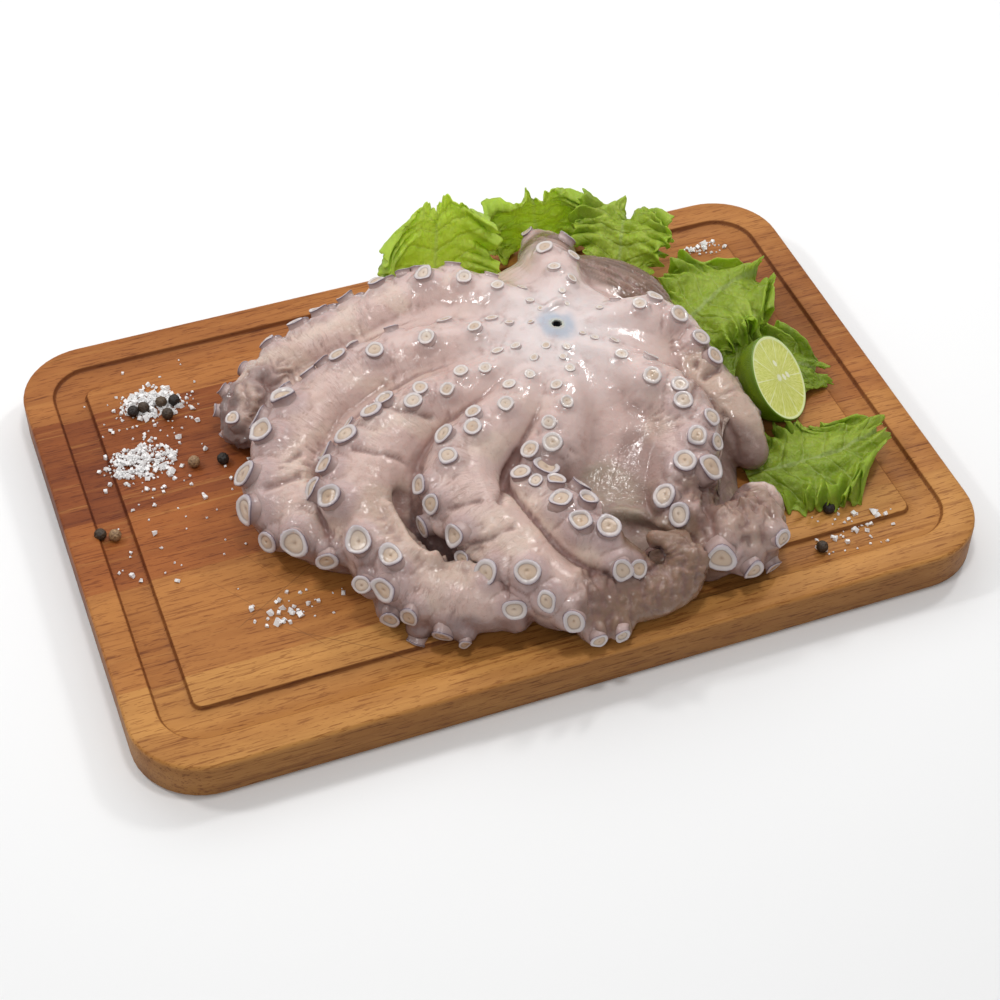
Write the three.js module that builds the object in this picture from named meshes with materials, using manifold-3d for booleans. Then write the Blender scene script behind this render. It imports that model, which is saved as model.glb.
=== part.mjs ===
// A whole raw octopus on a wooden carving board, mouth and suckers upwards, its eight arms
// spread over its head, with lettuce leaves, half a lime, peppercorns and flakes of salt.
// Millimetres. +X runs along the board, +Y to its far long edge, +Z up.
// The origin is under the middle of the board. Heights in the tables are above the board's top.
import * as THREE from "three";
import { mergeVertices } from "three/addons/utils/BufferGeometryUtils.js";
import Module from "manifold-3d";

const wasm = await Module();
wasm.setup();

// ---------------------------------------------------------------- driving dimensions

const GAP = 0.3; // air between pieces that touch
const BOARD = {
  length: 450,
  width: 305,
  thickness: 23,
  cornerRadius: 37,
  edgeRound: 1.5,
  grooveOuter: { length: 418, width: 270, radius: 22 },
  grooveInner: { length: 383, width: 233, radius: 5 },
  grooveDepth: 2.6,
};
const TOP = BOARD.thickness;

const MOUTH = { x: 44, y: 16, height: 64, holeRadius: 2.4, holeDepth: 7, holeSides: 8 };

// One row for each point of an arm's centreline, from the mouth outwards:
// x, y, height of the centre, radius, and roll in degrees, which turns the suckers
// from straight up towards the right of the way that the arm runs.
const ARMS = {
  back: {
    path: [
      [48, 29, 54, 8, 0],
      [56, 44, 52, 11, 0],
      [62, 61, 47, 15, 0],
      [66, 82, 40, 16, 0],
      [73, 103, 28, 16, 0],
      [80, 121, 16, 14, 0],
    ],
    web: 4,
  },
  right: {
    path: [
      [55, 15, 54, 8, 0],
      [73, 17, 52, 11, 0],
      [94, 16, 46, 16, -10],
      [107, 8, 38, 17, -40],
      [111, -10, 31, 16, -70],
      [115, -31, 25, 17, -90],
      [120, -50, 19, 16, -90],
      [124, -62, 14, 10, -90],
    ],
    web: 5,
  },
  rightFront: {
    path: [
      [48, 3, 54, 8, 0],
      [61, -8, 51, 11, 0],
      [73, -27, 46, 16, -10],
      [86, -39, 38, 19, -20],
      [87, -58, 32, 19, 0],
      [78, -73, 26, 19, 20],
      [69, -91, 21, 18, 30],
      [72, -108, 17, 16, 20],
      [85, -117, 17, 17, 0],
      [99, -114, 18, 17, 0],
      [108, -103, 17, 14, 0],
    ],
    web: 7,
  },
  front: {
    path: [
      [40, 1, 54, 8, 0],
      [37, -14, 50, 11, 0],
      [30, -30, 45, 15, 0],
      [24, -39, 38, 18, 10],
      [15, -47, 31, 19, 30],
      [-1, -57, 26, 15, 0],
      [2, -80, 27, 17, -50],
      [11, -100, 26, 17, -45],
      [22, -115, 24, 14, -40],
      [34, -122, 22, 8, -20],
    ],
    web: 5.7,
  },
  frontLeft: {
    path: [
      [34, 4, 54, 8, 0],
      [23, -8, 50, 11, 0],
      [5, -23, 45, 15, 0],
      [-9, -30, 40, 18, 10],
      [-26, -40, 35, 20, 25],
      [-35, -56, 32, 21, 30],
      [-32, -75, 28, 21, 20],
      [-24, -94, 24, 20, 10],
      [-17, -112, 20, 19, 20],
      [-5, -125, 16, 17, 50],
      [12, -132, 14, 13, 90],
      [31, -135, 13, 12, 110],
      [48, -134, 15, 12, 120],
      [56, -130, 21, 11, 120],
      [52, -122, 27, 9, 120],
      [45, -116, 30, 6, 120],
    ],
    web: 4.7,
  },
  left: {
    path: [
      [29, 9, 54, 8, 0],
      [13, 5, 50, 11, 0],
      [-11, 0, 43, 15, 0],
      [-33, 0, 36, 18, 15],
      [-56, -10, 30, 21, 40],
      [-72, -24, 26, 22, 50],
      [-84, -41, 22, 22, 40],
      [-83, -63, 18, 19, 20],
      [-75, -85, 16, 18, 30],
      [-60, -101, 15, 17, 40],
      [-43, -111, 14, 16, 40],
      [-28, -117, 12, 13, 40],
    ],
    web: 5.6,
  },
  leftBack: {
    path: [
      [32, 19, 54, 8, 0],
      [16, 26, 50, 11, 0],
      [-8, 34, 43, 15, 0],
      [-32, 41, 35, 18, 20],
      [-60, 38, 27, 20, 45],
      [-83, 29, 22, 20, 60],
      [-103, 12, 19, 20, 70],
      [-114, -10, 18, 19, 75],
      [-113, -29, 16, 17, 60],
      [-104, -45, 14, 15, 40],
      [-90, -58, 12, 13, 30],
    ],
    web: 7,
  },
  backLeft: {
    path: [
      [39, 28, 54, 8, 0],
      [33, 43, 52, 11, 0],
      [20, 61, 46, 15, 5],
      [5, 78, 40, 17, 15],
      [-18, 84, 32, 18, 40],
      [-43, 84, 25, 17, 60],
      [-67, 82, 20, 16, 70],
      [-89, 76, 17, 15, 80],
      [-106, 66, 15, 14, 90],
      [-117, 58, 13, 12, 90],
      [-122, 48, 10, 8, 90],
    ],
    web: 8,
  },
};
const ARM = { sides: 10, ringPitch: 12.5 };
const WEB = { rings: 6, steps: 2, sag: 9, rise: 0.75, skirt: 2.5, skirtHeight: 0.3 };
const MANTLE = { x: 87, y: 60, height: 20, along: 44, across: 35, tall: 28, turn: -40 };
const SUCKER = {
  first: 74, // along the arm, from its start; nearer the mouth they are too small to model
  smallest: 4,
  largest: 14,
  growth: 0.068, // of diameter for each millimetre along the arm
  pitch: 0.66, // between neighbours, in diameters
  shortestStep: 6.5,
  spread: 21, // degrees from the roll to each row
  proud: 0.22, // height over the skin, in diameters
  buried: 5, // a sucker this far from its arm's own skin is hidden under a neighbour
  lowestFacing: -0.25,
  sides: 6,
};

const LEAF = {
  thickness: 1.2,
  cellsAlong: 10,
  cellsAcross: 6,
  roundTip: 0.28,
  lobes: 5, // down each side
  lobeDepth: 0.13,
  frill: 2.5, // height of the edge's small waves, one to a lobe
};

// The spine's points as x, y and height, the level direction across, and how it waves.
const LEAVES = {
  leaf_back_left: {
    spine: [[6, 99, 1], [11, 115, 20], [16, 127, 46], [19, 133, 64]],
    across: [1, 0.05, 0],
    width: 74,
    ruffle: 5,
    waves: 2.5,
    phase: 0.6,
    curl: -4,
  },
  leaf_back: {
    spine: [[84, 146, 1], [83, 145, 17], [81, 143, 34], [79, 139, 48]],
    across: [1, 0, 0],
    width: 68,
    ruffle: 5,
    waves: 2.5,
    phase: 2,
    curl: 0,
  },
  leaf_back_right: {
    spine: [[116, 98, 8], [122, 110, 24], [129, 122, 30], [138, 132, 24]],
    across: [0.8, -0.6, 0],
    width: 60,
    ruffle: 6,
    waves: 2,
    phase: 1,
    curl: -3,
  },
  leaf_right_back: {
    spine: [[125, 38, 10], [144, 47, 18], [169, 59, 20], [197, 69, 13]],
    across: [-0.35, 0.93, 0],
    width: 68,
    ruffle: 7,
    waves: 2.5,
    phase: 0,
    curl: -4,
  },
  leaf_right: {
    spine: [[130, 4, 3], [151, 5, 6], [177, -1, 7], [198, -14, 3]],
    across: [0.2, 0.98, 0],
    width: 62,
    ruffle: 5,
    waves: 2.5,
    phase: 1.5,
    curl: 2,
  },
  leaf_front_right: {
    spine: [[119, -68, 3], [144, -73, 8], [172, -75, 12], [204, -67, 13]],
    across: [0.1, 1, 0],
    width: 64,
    ruffle: 6,
    waves: 2.5,
    phase: 0.4,
    curl: -3,
  },
};

const LIME = { x: 157, y: -26.5, height: 25, radius: 23, facing: [0.59, -0.465, 0.66], sides: 20, rings: 5 };

const PEPPER = { radius: 3.3, sunk: 0.7, cornerDown: 0.5536 };
const PEPPERCORNS = [
  [-171, 89],
  [-165, 89],
  [-154, 91],
  [-147.5, 91],
  [-153, 82],
  [-150, 40],
  [-135, 36],
  [-205, 9],
  [-198, 6],
  [153, -100],
  [136, -126],
];

// Patches of salt flakes: the middle, the reach along and across the board, and how many.
const SALT = {
  seed: 7,
  smallest: 1.6,
  largest: 4.6,
  patches: [
    [-160, 92, 20, 14, 12],
    [-175, 50, 18, 15, 11],
    [-150, 60, 50, 50, 5],
    [-128, -72, 18, 10, 5],
    [155, -118, 22, 14, 4],
    [178, 112, 12, 5, 3],
  ],
};

// ---------------------------------------------------------------- solids

function solidOf(geometry) {
  const loose = geometry.index ? geometry.toNonIndexed() : geometry;
  const bare = new THREE.BufferGeometry().setAttribute("position", loose.getAttribute("position"));
  const merged = mergeVertices(bare, 1e-3);
  return new wasm.Manifold(
    new wasm.Mesh({
      numProp: 3,
      vertProperties: merged.attributes.position.array,
      triVerts: new Uint32Array(merged.index.array),
    }),
  );
}

function geometryOf(solid) {
  const mesh = solid.getMesh();
  return new THREE.BufferGeometry()
    .setAttribute("position", new THREE.BufferAttribute(new Float32Array(mesh.vertProperties), 3))
    .setIndex(new THREE.BufferAttribute(mesh.triVerts, 1));
}

// A closed geometry from rings of equally many points, closed at both ends by a point.
function ringsGeometry(rings, firstPole, lastPole) {
  const count = rings[0].length;
  const points = [firstPole, ...rings.flat(), lastPole];
  const last = points.length - 1;
  const index = [];
  for (let i = 0; i < count; i++) {
    const next = (i + 1) % count;
    index.push(0, 1 + i, 1 + next);
    for (let ring = 0; ring < rings.length - 1; ring++) {
      const here = 1 + ring * count;
      const there = here + count;
      index.push(here + i, there + i, here + next);
      index.push(here + next, there + i, there + next);
    }
    index.push(last, last - count + next, last - count + i);
  }
  return new THREE.BufferGeometry().setFromPoints(points).setIndex(index);
}

// ---------------------------------------------------------------- arms

const UP = new THREE.Vector3(0, 0, 1);

// A curve through an arm's points, with its radius, roll and cross-section frame.
// Where the web holds the arm up, its underside drapes down to the board.
function armCurve({ path, web }) {
  const centre = new THREE.CatmullRomCurve3(
    path.map(([x, y, height]) => new THREE.Vector3(x, y, TOP + height)),
    false,
    "catmullrom",
    0.5,
  );
  const sizes = new THREE.CatmullRomCurve3(
    path.map(([, , , radius, roll]) => new THREE.Vector3(radius, roll, 0)),
    false,
    "catmullrom",
    0.5,
  );
  centre.arcLengthDivisions = 400;
  const length = centre.getLength();
  return {
    length,
    at(distance) {
      const t = distance < length ? centre.getUtoTmapping(0, distance) : 1;
      const along = centre.getTangent(t);
      const side = along.clone().cross(UP).normalize();
      const over = side.clone().cross(along);
      const { x: radius, y: roll } = sizes.getPoint(t);
      const drape = THREE.MathUtils.clamp(web + 1 - t * (path.length - 1), 0, 1);
      return { point: centre.getPoint(t), along, side, over, radius, roll, drape };
    },
    atIndex(index) {
      const t = Math.min(1, index / (path.length - 1));
      return { point: centre.getPoint(t), radius: sizes.getPoint(t).x };
    },
  };
}

function ringAround({ point, side, over, drape }, radius, ahead = new THREE.Vector3()) {
  return Array.from({ length: ARM.sides }, (_, i) => {
    const angle = (i / ARM.sides) * 2 * Math.PI;
    const place = point
      .clone()
      .add(ahead)
      .addScaledVector(side, radius * Math.cos(angle))
      .addScaledVector(over, radius * Math.sin(angle));
    const hang = drape * Math.sqrt(Math.max(0, -Math.sin(angle)));
    place.z = Math.min(place.z, THREE.MathUtils.lerp(place.z, 0, hang));
    return place;
  });
}

function armSolid(curve, swell = 0) {
  const steps = Math.ceil(curve.length / ARM.ringPitch);
  const rings = Array.from({ length: steps + 1 }, (_, i) => {
    const place = curve.at((curve.length * i) / steps);
    return ringAround(place, place.radius + swell);
  });
  const end = curve.at(curve.length);
  const tip = end.radius + swell;
  for (const [ahead, share] of [
    [0.5, 0.86],
    [0.86, 0.5],
  ]) {
    rings.push(ringAround(end, tip * share, end.along.clone().multiplyScalar(tip * ahead)));
  }
  const pole = end.point.clone().addScaledVector(end.along, tip);
  return solidOf(ringsGeometry(rings, curve.at(0).point.clone(), pole));
}

// The low flesh between the arms, farther out than the web.
function webSkirt(curves) {
  const names = Object.keys(ARMS);
  const reach = names.map((name) => {
    const last = ARMS[name].path.length - 1;
    return curves[name].atIndex(Math.min(last - 1, ARMS[name].web + WEB.skirt)).point;
  });
  const ring = [];
  reach.forEach((from, i) => {
    const to = reach[(i + 1) % reach.length];
    for (let step = 0; step < WEB.steps; step++) ring.push(from.clone().lerp(to, step / WEB.steps));
  });
  for (const point of ring) point.z = THREE.MathUtils.lerp(TOP, point.z, WEB.skirtHeight);
  return ring.reverse();
}

// The web that joins the arms near the mouth, filled down to the board by the head under it.
function webSolid(curves, swell = 0) {
  const names = Object.keys(ARMS);
  const rings = [];
  for (let k = 1; k <= WEB.rings; k++) {
    const share = k / WEB.rings;
    const reach = names.map((name) => curves[name].atIndex(ARMS[name].web * share));
    const ring = [];
    reach.forEach((from, i) => {
      const to = reach[(i + 1) % reach.length];
      for (let step = 0; step < WEB.steps; step++) {
        const part = step / WEB.steps;
        const lift = THREE.MathUtils.lerp(from.radius, to.radius, part) * WEB.rise;
        const sag = WEB.sag * share * Math.sin(Math.PI * part);
        const point = from.point.clone().lerp(to.point, part);
        point.z += lift - sag + swell;
        ring.push(point);
      }
    });
    rings.push(ring.reverse());
  }
  rings.push(webSkirt(curves));
  const foot = rings[rings.length - 1].map(({ x, y }) => new THREE.Vector3(x, y, 0));
  const mouth = new THREE.Vector3(MOUTH.x, MOUTH.y, TOP + MOUTH.height + swell);
  const under = new THREE.Vector3(MOUTH.x, MOUTH.y, 0);
  return solidOf(ringsGeometry([...rings, foot], mouth, under));
}

function mantleSolid(swell = 0) {
  const shape = new THREE.SphereGeometry(1, 20, 12);
  shape.scale(MANTLE.along + swell, MANTLE.across + swell, MANTLE.tall + swell);
  shape.rotateZ(THREE.MathUtils.degToRad(MANTLE.turn));
  shape.translate(MANTLE.x, MANTLE.y, TOP + MANTLE.height);
  return solidOf(shape);
}

// Everything below the board's top, which the soft body can't enter.
function belowBoard(gap) {
  const deep = 100;
  const slab = new THREE.BoxGeometry(600, 600, deep).translate(0, 0, TOP + gap - deep / 2);
  return solidOf(slab);
}

function bareBody(curves, swell = 0) {
  const pieces = [webSolid(curves, swell), mantleSolid(swell)];
  for (const curve of Object.values(curves)) pieces.push(armSolid(curve, swell));
  return pieces.reduce((whole, piece) => whole.add(piece)).subtract(belowBoard(GAP));
}

// ---------------------------------------------------------------- suckers

function suckerGeometry(diameter) {
  const radius = diameter / 2;
  const proud = diameter * SUCKER.proud;
  const profile = [
    [0, -proud * 1.5],
    [radius * 0.9, -proud * 1.5],
    [radius * 0.95, proud],
    [0, proud * 0.3],
  ];
  return new THREE.LatheGeometry(
    profile.map(([x, y]) => new THREE.Vector2(x, y)),
    SUCKER.sides,
  ).rotateX(Math.PI / 2);
}

function suckerDiameter(distance, radius) {
  const grown = Math.min(SUCKER.largest, SUCKER.smallest + SUCKER.growth * distance);
  return Math.min(grown, radius * 0.85);
}

// Two rows of cups along an arm, each set on the skin that a ray from outside meets first.
function armSuckers(curve, skin) {
  const cups = [];
  const caster = new THREE.Raycaster();
  let side = 1;
  for (let distance = SUCKER.first; distance < curve.length - 4; ) {
    const place = curve.at(distance);
    const diameter = suckerDiameter(distance, place.radius);
    const angle = THREE.MathUtils.degToRad(place.roll + side * SUCKER.spread);
    const out = place.over.clone().multiplyScalar(Math.cos(angle)).addScaledVector(place.side, Math.sin(angle));
    const reach = place.radius + 9;
    caster.set(place.point.clone().addScaledVector(out, reach), out.clone().negate());
    caster.far = 18;
    const hit = caster.intersectObject(skin)[0];
    const free = hit && Math.abs(hit.distance - 9) < SUCKER.buried && out.z > SUCKER.lowestFacing;
    if (free && hit.point.z > TOP + diameter * 0.3) {
      const cup = suckerGeometry(diameter);
      cup.applyQuaternion(new THREE.Quaternion().setFromUnitVectors(UP, out));
      cup.translate(hit.point.x, hit.point.y, hit.point.z);
      cups.push(solidOf(cup));
    }
    side = -side;
    distance += Math.max(SUCKER.shortestStep, diameter * SUCKER.pitch);
  }
  return cups;
}

function mouthHole() {
  const shape = new THREE.ConeGeometry(MOUTH.holeRadius, MOUTH.holeDepth * 2, MOUTH.holeSides);
  return solidOf(shape.rotateX(-Math.PI / 2).translate(MOUTH.x, MOUTH.y, TOP + MOUTH.height));
}

const curves = Object.fromEntries(Object.entries(ARMS).map(([name, arm]) => [name, armCurve(arm)]));

function octopusSolid() {
  const body = bareBody(curves);
  const skin = new THREE.Mesh(geometryOf(body), new THREE.MeshBasicMaterial());
  const cups = Object.values(curves).flatMap((curve) => armSuckers(curve, skin));
  const whole = cups.reduce((sum, cup) => sum.add(cup), body);
  return whole.subtract(mouthHole()).subtract(belowBoard(GAP));
}

// ---------------------------------------------------------------- lettuce

// A ruffled sheet along a spine, with the thickness on both sides of its middle.
class Leaf {
  constructor(spec) {
    this.spec = spec;
    const points = spec.spine.map(([x, y, height]) => new THREE.Vector3(x, y, TOP + height));
    this.spine = new THREE.CatmullRomCurve3(points, false, "catmullrom", 0.5);
    this.across = new THREE.Vector3(...spec.across).normalize();
  }

  middle(along, aside) {
    const { width, ruffle, waves, phase, curl } = this.spec;
    const u = along * (1 - LEAF.roundTip * aside * aside);
    const lobe = Math.cos(2 * Math.PI * LEAF.lobes * along);
    const reach = (width / 2) * Math.sin(Math.PI * (0.16 + 0.77 * u)) ** 0.7;
    const half = reach * (1 + LEAF.lobeDepth * lobe * aside * aside);
    const frill = LEAF.frill * lobe * aside ** 4;
    const edge = aside * aside * (0.25 + 0.75 * u);
    const turned = phase + (aside > 0 ? 0 : 1.7);
    const sideWave = edge * Math.sin(2 * Math.PI * waves * u + turned);
    const tipWave = 0.8 * u ** 4 * Math.sin(Math.PI * waves * aside + phase);
    const normal = this.spine.getTangent(u).cross(this.across).normalize();
    return this.spine
      .getPoint(u)
      .addScaledVector(this.across, aside * half)
      .addScaledVector(normal, ruffle * (sideWave + tipWave) + curl * aside * aside + frill);
  }

  faces(along, aside, swell) {
    const point = this.middle(along, aside);
    const step = 0.01;
    const forwards = this.middle(along + step, aside).sub(this.middle(along - step, aside));
    const sideways = this.middle(along, aside + step).sub(this.middle(along, aside - step));
    const normal = forwards.cross(sideways).normalize();
    const half = LEAF.thickness / 2 + swell;
    const pair = [point.clone().addScaledVector(normal, half), point.clone().addScaledVector(normal, -half)];
    const lowest = TOP + GAP + (normal.z > 0 ? 0 : half * 2);
    pair[1].z = Math.max(pair[1].z, lowest);
    pair[0].z = Math.max(pair[0].z, lowest + (normal.z > 0 ? half * 2 : -half * 2));
    return pair;
  }

  // Swollen, a leaf cuts the room that it takes out of the leaves after it.
  solid(swell = 0) {
    const { cellsAlong, cellsAcross } = LEAF;
    const wider = 1 + swell / 12;
    const columns = cellsAcross + 1;
    const points = [];
    for (let i = 0; i <= cellsAlong; i++) {
      for (let j = 0; j <= cellsAcross; j++) {
        const along = 0.01 + (0.98 * i) / cellsAlong;
        points.push(...this.faces(along, wider * ((2 * j) / cellsAcross - 1), swell));
      }
    }
    const upper = (i, j) => 2 * (i * columns + j);
    const lower = (i, j) => upper(i, j) + 1;
    const index = [];
    const quad = (a, b, c, d) => index.push(a, b, c, a, c, d);
    for (let i = 0; i < cellsAlong; i++) {
      for (let j = 0; j < cellsAcross; j++) {
        quad(upper(i, j), upper(i + 1, j), upper(i + 1, j + 1), upper(i, j + 1));
        const [a, b, c, d] = [lower(i, j), lower(i + 1, j), lower(i + 1, j + 1), lower(i, j + 1)];
        index.push(a, c, b, a, d, c);
      }
      quad(lower(i, 0), lower(i + 1, 0), upper(i + 1, 0), upper(i, 0));
      const end = cellsAcross;
      quad(upper(i, end), upper(i + 1, end), lower(i + 1, end), lower(i, end));
    }
    for (let j = 0; j < cellsAcross; j++) {
      const end = cellsAlong;
      quad(upper(0, j), upper(0, j + 1), lower(0, j + 1), lower(0, j));
      quad(lower(end, j), lower(end, j + 1), upper(end, j + 1), upper(end, j));
    }
    return solidOf(new THREE.BufferGeometry().setFromPoints(points).setIndex(index));
  }
}

// ---------------------------------------------------------------- lime

function limeGeometry(swell = 0) {
  const radius = LIME.radius + swell;
  const profile = [new THREE.Vector2(0, -radius)];
  for (let i = 1; i <= LIME.rings; i++) {
    const angle = ((i / LIME.rings) * Math.PI) / 2;
    profile.push(new THREE.Vector2(radius * Math.sin(angle), -radius * Math.cos(angle)));
  }
  if (swell > 0) profile.push(new THREE.Vector2(radius, swell));
  profile.push(new THREE.Vector2(0, swell));
  const facing = new THREE.Vector3(...LIME.facing).normalize();
  const turn = new THREE.Quaternion().setFromUnitVectors(new THREE.Vector3(0, 1, 0), facing);
  return new THREE.LatheGeometry(profile, LIME.sides)
    .applyQuaternion(turn)
    .translate(LIME.x, LIME.y, TOP + LIME.height);
}

// ---------------------------------------------------------------- board

// An outline of a rectangle with round corners, as a shape to extrude.
function roundedRectangle(length, width, radius) {
  const [x, y] = [length / 2, width / 2];
  return new THREE.Shape()
    .moveTo(-x + radius, -y)
    .lineTo(x - radius, -y)
    .absarc(x - radius, -y + radius, radius, -Math.PI / 2, 0)
    .lineTo(x, y - radius)
    .absarc(x - radius, y - radius, radius, 0, Math.PI / 2)
    .lineTo(-x + radius, y)
    .absarc(-x + radius, y - radius, radius, Math.PI / 2, Math.PI)
    .lineTo(-x, -y + radius)
    .absarc(-x + radius, -y + radius, radius, Math.PI, 1.5 * Math.PI);
}

function boardSolid() {
  const { length, width, thickness, cornerRadius, edgeRound, grooveOuter, grooveInner, grooveDepth } = BOARD;
  const outline = roundedRectangle(length - edgeRound * 2, width - edgeRound * 2, cornerRadius - edgeRound);
  const slab = new THREE.ExtrudeGeometry(outline, {
    depth: thickness - edgeRound * 2,
    bevelThickness: edgeRound,
    bevelSize: edgeRound,
    bevelSegments: 2,
    curveSegments: 7,
  }).translate(0, 0, edgeRound);
  const groove = roundedRectangle(grooveOuter.length, grooveOuter.width, grooveOuter.radius);
  groove.holes.push(roundedRectangle(grooveInner.length, grooveInner.width, grooveInner.radius));
  const cut = new THREE.ExtrudeGeometry(groove, { depth: 10, bevelEnabled: false, curveSegments: 6 });
  return solidOf(slab).subtract(solidOf(cut.translate(0, 0, TOP - grooveDepth)));
}

// A repeatable stream of numbers from 0 to 1.
function randomStream(seed) {
  let state = seed;
  return () => {
    state = (state * 16807) % 2147483647;
    return state / 2147483647;
  };
}

// The board's upper surface, which is lower inside the groove.
function surfaceHeight(x, y) {
  const inside = ({ length, width }) => Math.abs(x) < length / 2 && Math.abs(y) < width / 2;
  return inside(BOARD.grooveOuter) && !inside(BOARD.grooveInner) ? TOP - BOARD.grooveDepth : TOP;
}

function peppercorns() {
  return PEPPERCORNS.map(([x, y]) => {
    const radius = PEPPER.radius;
    const height = surfaceHeight(x, y) + radius - PEPPER.sunk;
    const corn = new THREE.IcosahedronGeometry(radius, 0).rotateX(PEPPER.cornerDown).rotateZ(x);
    return solidOf(corn.translate(x, y, height));
  });
}

function saltFlakes() {
  const random = randomStream(SALT.seed);
  const flakes = [];
  for (const [x, y, reachX, reachY, count] of SALT.patches) {
    for (let i = 0; i < count; i++) {
      const angle = random() * 2 * Math.PI;
      const reach = Math.sqrt(random());
      const atX = x + reach * reachX * Math.cos(angle);
      const atY = y + reach * reachY * Math.sin(angle);
      const size = SALT.smallest + (SALT.largest - SALT.smallest) * random() ** 2;
      const flake = new THREE.OctahedronGeometry(size / 2).scale(1.1, 0.9, 0.8);
      flake.rotateX(random()).rotateY(random()).rotateZ(6.3 * random());
      flakes.push(solidOf(flake.translate(atX, atY, surfaceHeight(atX, atY) + size * 0.15)));
    }
  }
  return flakes;
}

// ---------------------------------------------------------------- the object

const MATERIALS = {
  flesh: { color: 0xcbb0ab, roughness: 0.3 },
  wood: { color: 0xb9783f, roughness: 0.6 },
  leaf: { color: 0x6fa32c, roughness: 0.5 },
  lime: { color: 0x9fbe45, roughness: 0.4 },
};

const object = new THREE.Group();

function addPiece(name, solid, material) {
  const mesh = new THREE.Mesh(geometryOf(solid), new THREE.MeshStandardMaterial({ metalness: 0, ...material }));
  mesh.name = name;
  object.add(mesh);
}

const board = [...saltFlakes(), ...peppercorns()].reduce((sum, piece) => sum.add(piece), boardSolid());
addPiece("board", board, MATERIALS.wood);
addPiece("octopus", octopusSolid(), MATERIALS.flesh);
addPiece("lime_half", solidOf(limeGeometry()), MATERIALS.lime);

let taken = bareBody(curves, GAP).add(solidOf(limeGeometry(GAP)));
for (const [name, spec] of Object.entries(LEAVES)) {
  const leaf = new Leaf(spec);
  addPiece(name, leaf.solid().subtract(taken), MATERIALS.leaf);
  taken = taken.add(leaf.solid(GAP));
}

export default object;
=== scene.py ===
"""A raw octopus, mouth and suckers upwards, on a wooden carving board with lettuce, lime, salt
and pepper. Shapes are made in millimetres and brought to metres when they are done."""

import math
import random

import bmesh
import bpy
import numpy as np
from mathutils import Matrix, Vector, noise
from mathutils.bvhtree import BVHTree


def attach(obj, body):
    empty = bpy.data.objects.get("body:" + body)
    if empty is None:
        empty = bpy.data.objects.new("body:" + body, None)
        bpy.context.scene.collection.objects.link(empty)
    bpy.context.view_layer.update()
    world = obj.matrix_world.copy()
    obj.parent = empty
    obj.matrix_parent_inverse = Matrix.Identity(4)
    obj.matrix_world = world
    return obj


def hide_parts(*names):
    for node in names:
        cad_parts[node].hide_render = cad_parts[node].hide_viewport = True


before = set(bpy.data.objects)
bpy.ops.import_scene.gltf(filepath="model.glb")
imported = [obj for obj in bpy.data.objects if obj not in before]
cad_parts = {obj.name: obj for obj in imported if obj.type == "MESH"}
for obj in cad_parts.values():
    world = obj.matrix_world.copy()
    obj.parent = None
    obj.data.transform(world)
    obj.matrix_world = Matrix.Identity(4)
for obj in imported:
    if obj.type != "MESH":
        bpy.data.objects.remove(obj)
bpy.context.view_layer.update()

# Vector noise starts from the clock where no seed is set.
NOISE_SEED = 4
noise.seed_set(NOISE_SEED)

MM = 0.001
BOARD_TOP = 23.0
GAP = 0.3
UP = Vector((0, 0, 1))

# ---------------------------------------------------------------- camera

CAMERA_PLACE = Vector((-282.18, -744.77, 820.29))
VIEW_DIRECTION = Vector((0.24981, 0.64240, -0.72451))
VIEW_UP = Vector((0.24752, 0.68101, 0.68917))
LENS_MM = 76.06


def add_camera():
    data = bpy.data.cameras.new("camera")
    data.sensor_fit = "HORIZONTAL"
    data.sensor_width = 36
    data.lens = LENS_MM
    data.clip_start = 0.01
    data.clip_end = 20
    camera = bpy.data.objects.new("camera", data)
    back = -VIEW_DIRECTION.normalized()
    right = VIEW_UP.cross(back).normalized()
    turn = Matrix((right, back.cross(right), back)).transposed().to_4x4()
    camera.matrix_world = Matrix.Translation(CAMERA_PLACE * MM) @ turn
    bpy.context.collection.objects.link(camera)
    bpy.context.scene.camera = camera


# ---------------------------------------------------------------- shader helpers


class Value:
    """A number socket, so that shader maths is written as arithmetic."""

    def __init__(self, finish, socket):
        self.finish = finish
        self.socket = socket

    def math(self, operation, *operands):
        settings = {"operation": operation}
        node = self.finish.add("ShaderNodeMath", settings, dict(enumerate(operands)))
        return Value(self.finish, node.outputs[0])

    def __add__(self, other):
        return self.math("ADD", self, other)

    def __sub__(self, other):
        return self.math("SUBTRACT", self, other)

    def __rsub__(self, other):
        return self.math("SUBTRACT", other, self)

    def __mul__(self, other):
        return self.math("MULTIPLY", self, other)

    def __pow__(self, other):
        return self.math("POWER", self, other)

    def sine(self):
        return self.math("SINE", self)

    def size(self):
        return self.math("ABSOLUTE", self)

    def or_more(self, other):
        return self.math("MAXIMUM", self, other)

    def within(self, low, high):
        """0 below low, 1 above high and smooth between them."""
        settings = {"interpolation_type": "SMOOTHSTEP"}
        sockets = {"Value": self, "From Min": low, "From Max": high}
        node = self.finish.add("ShaderNodeMapRange", settings, sockets)
        return Value(self.finish, node.outputs["Result"])


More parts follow.
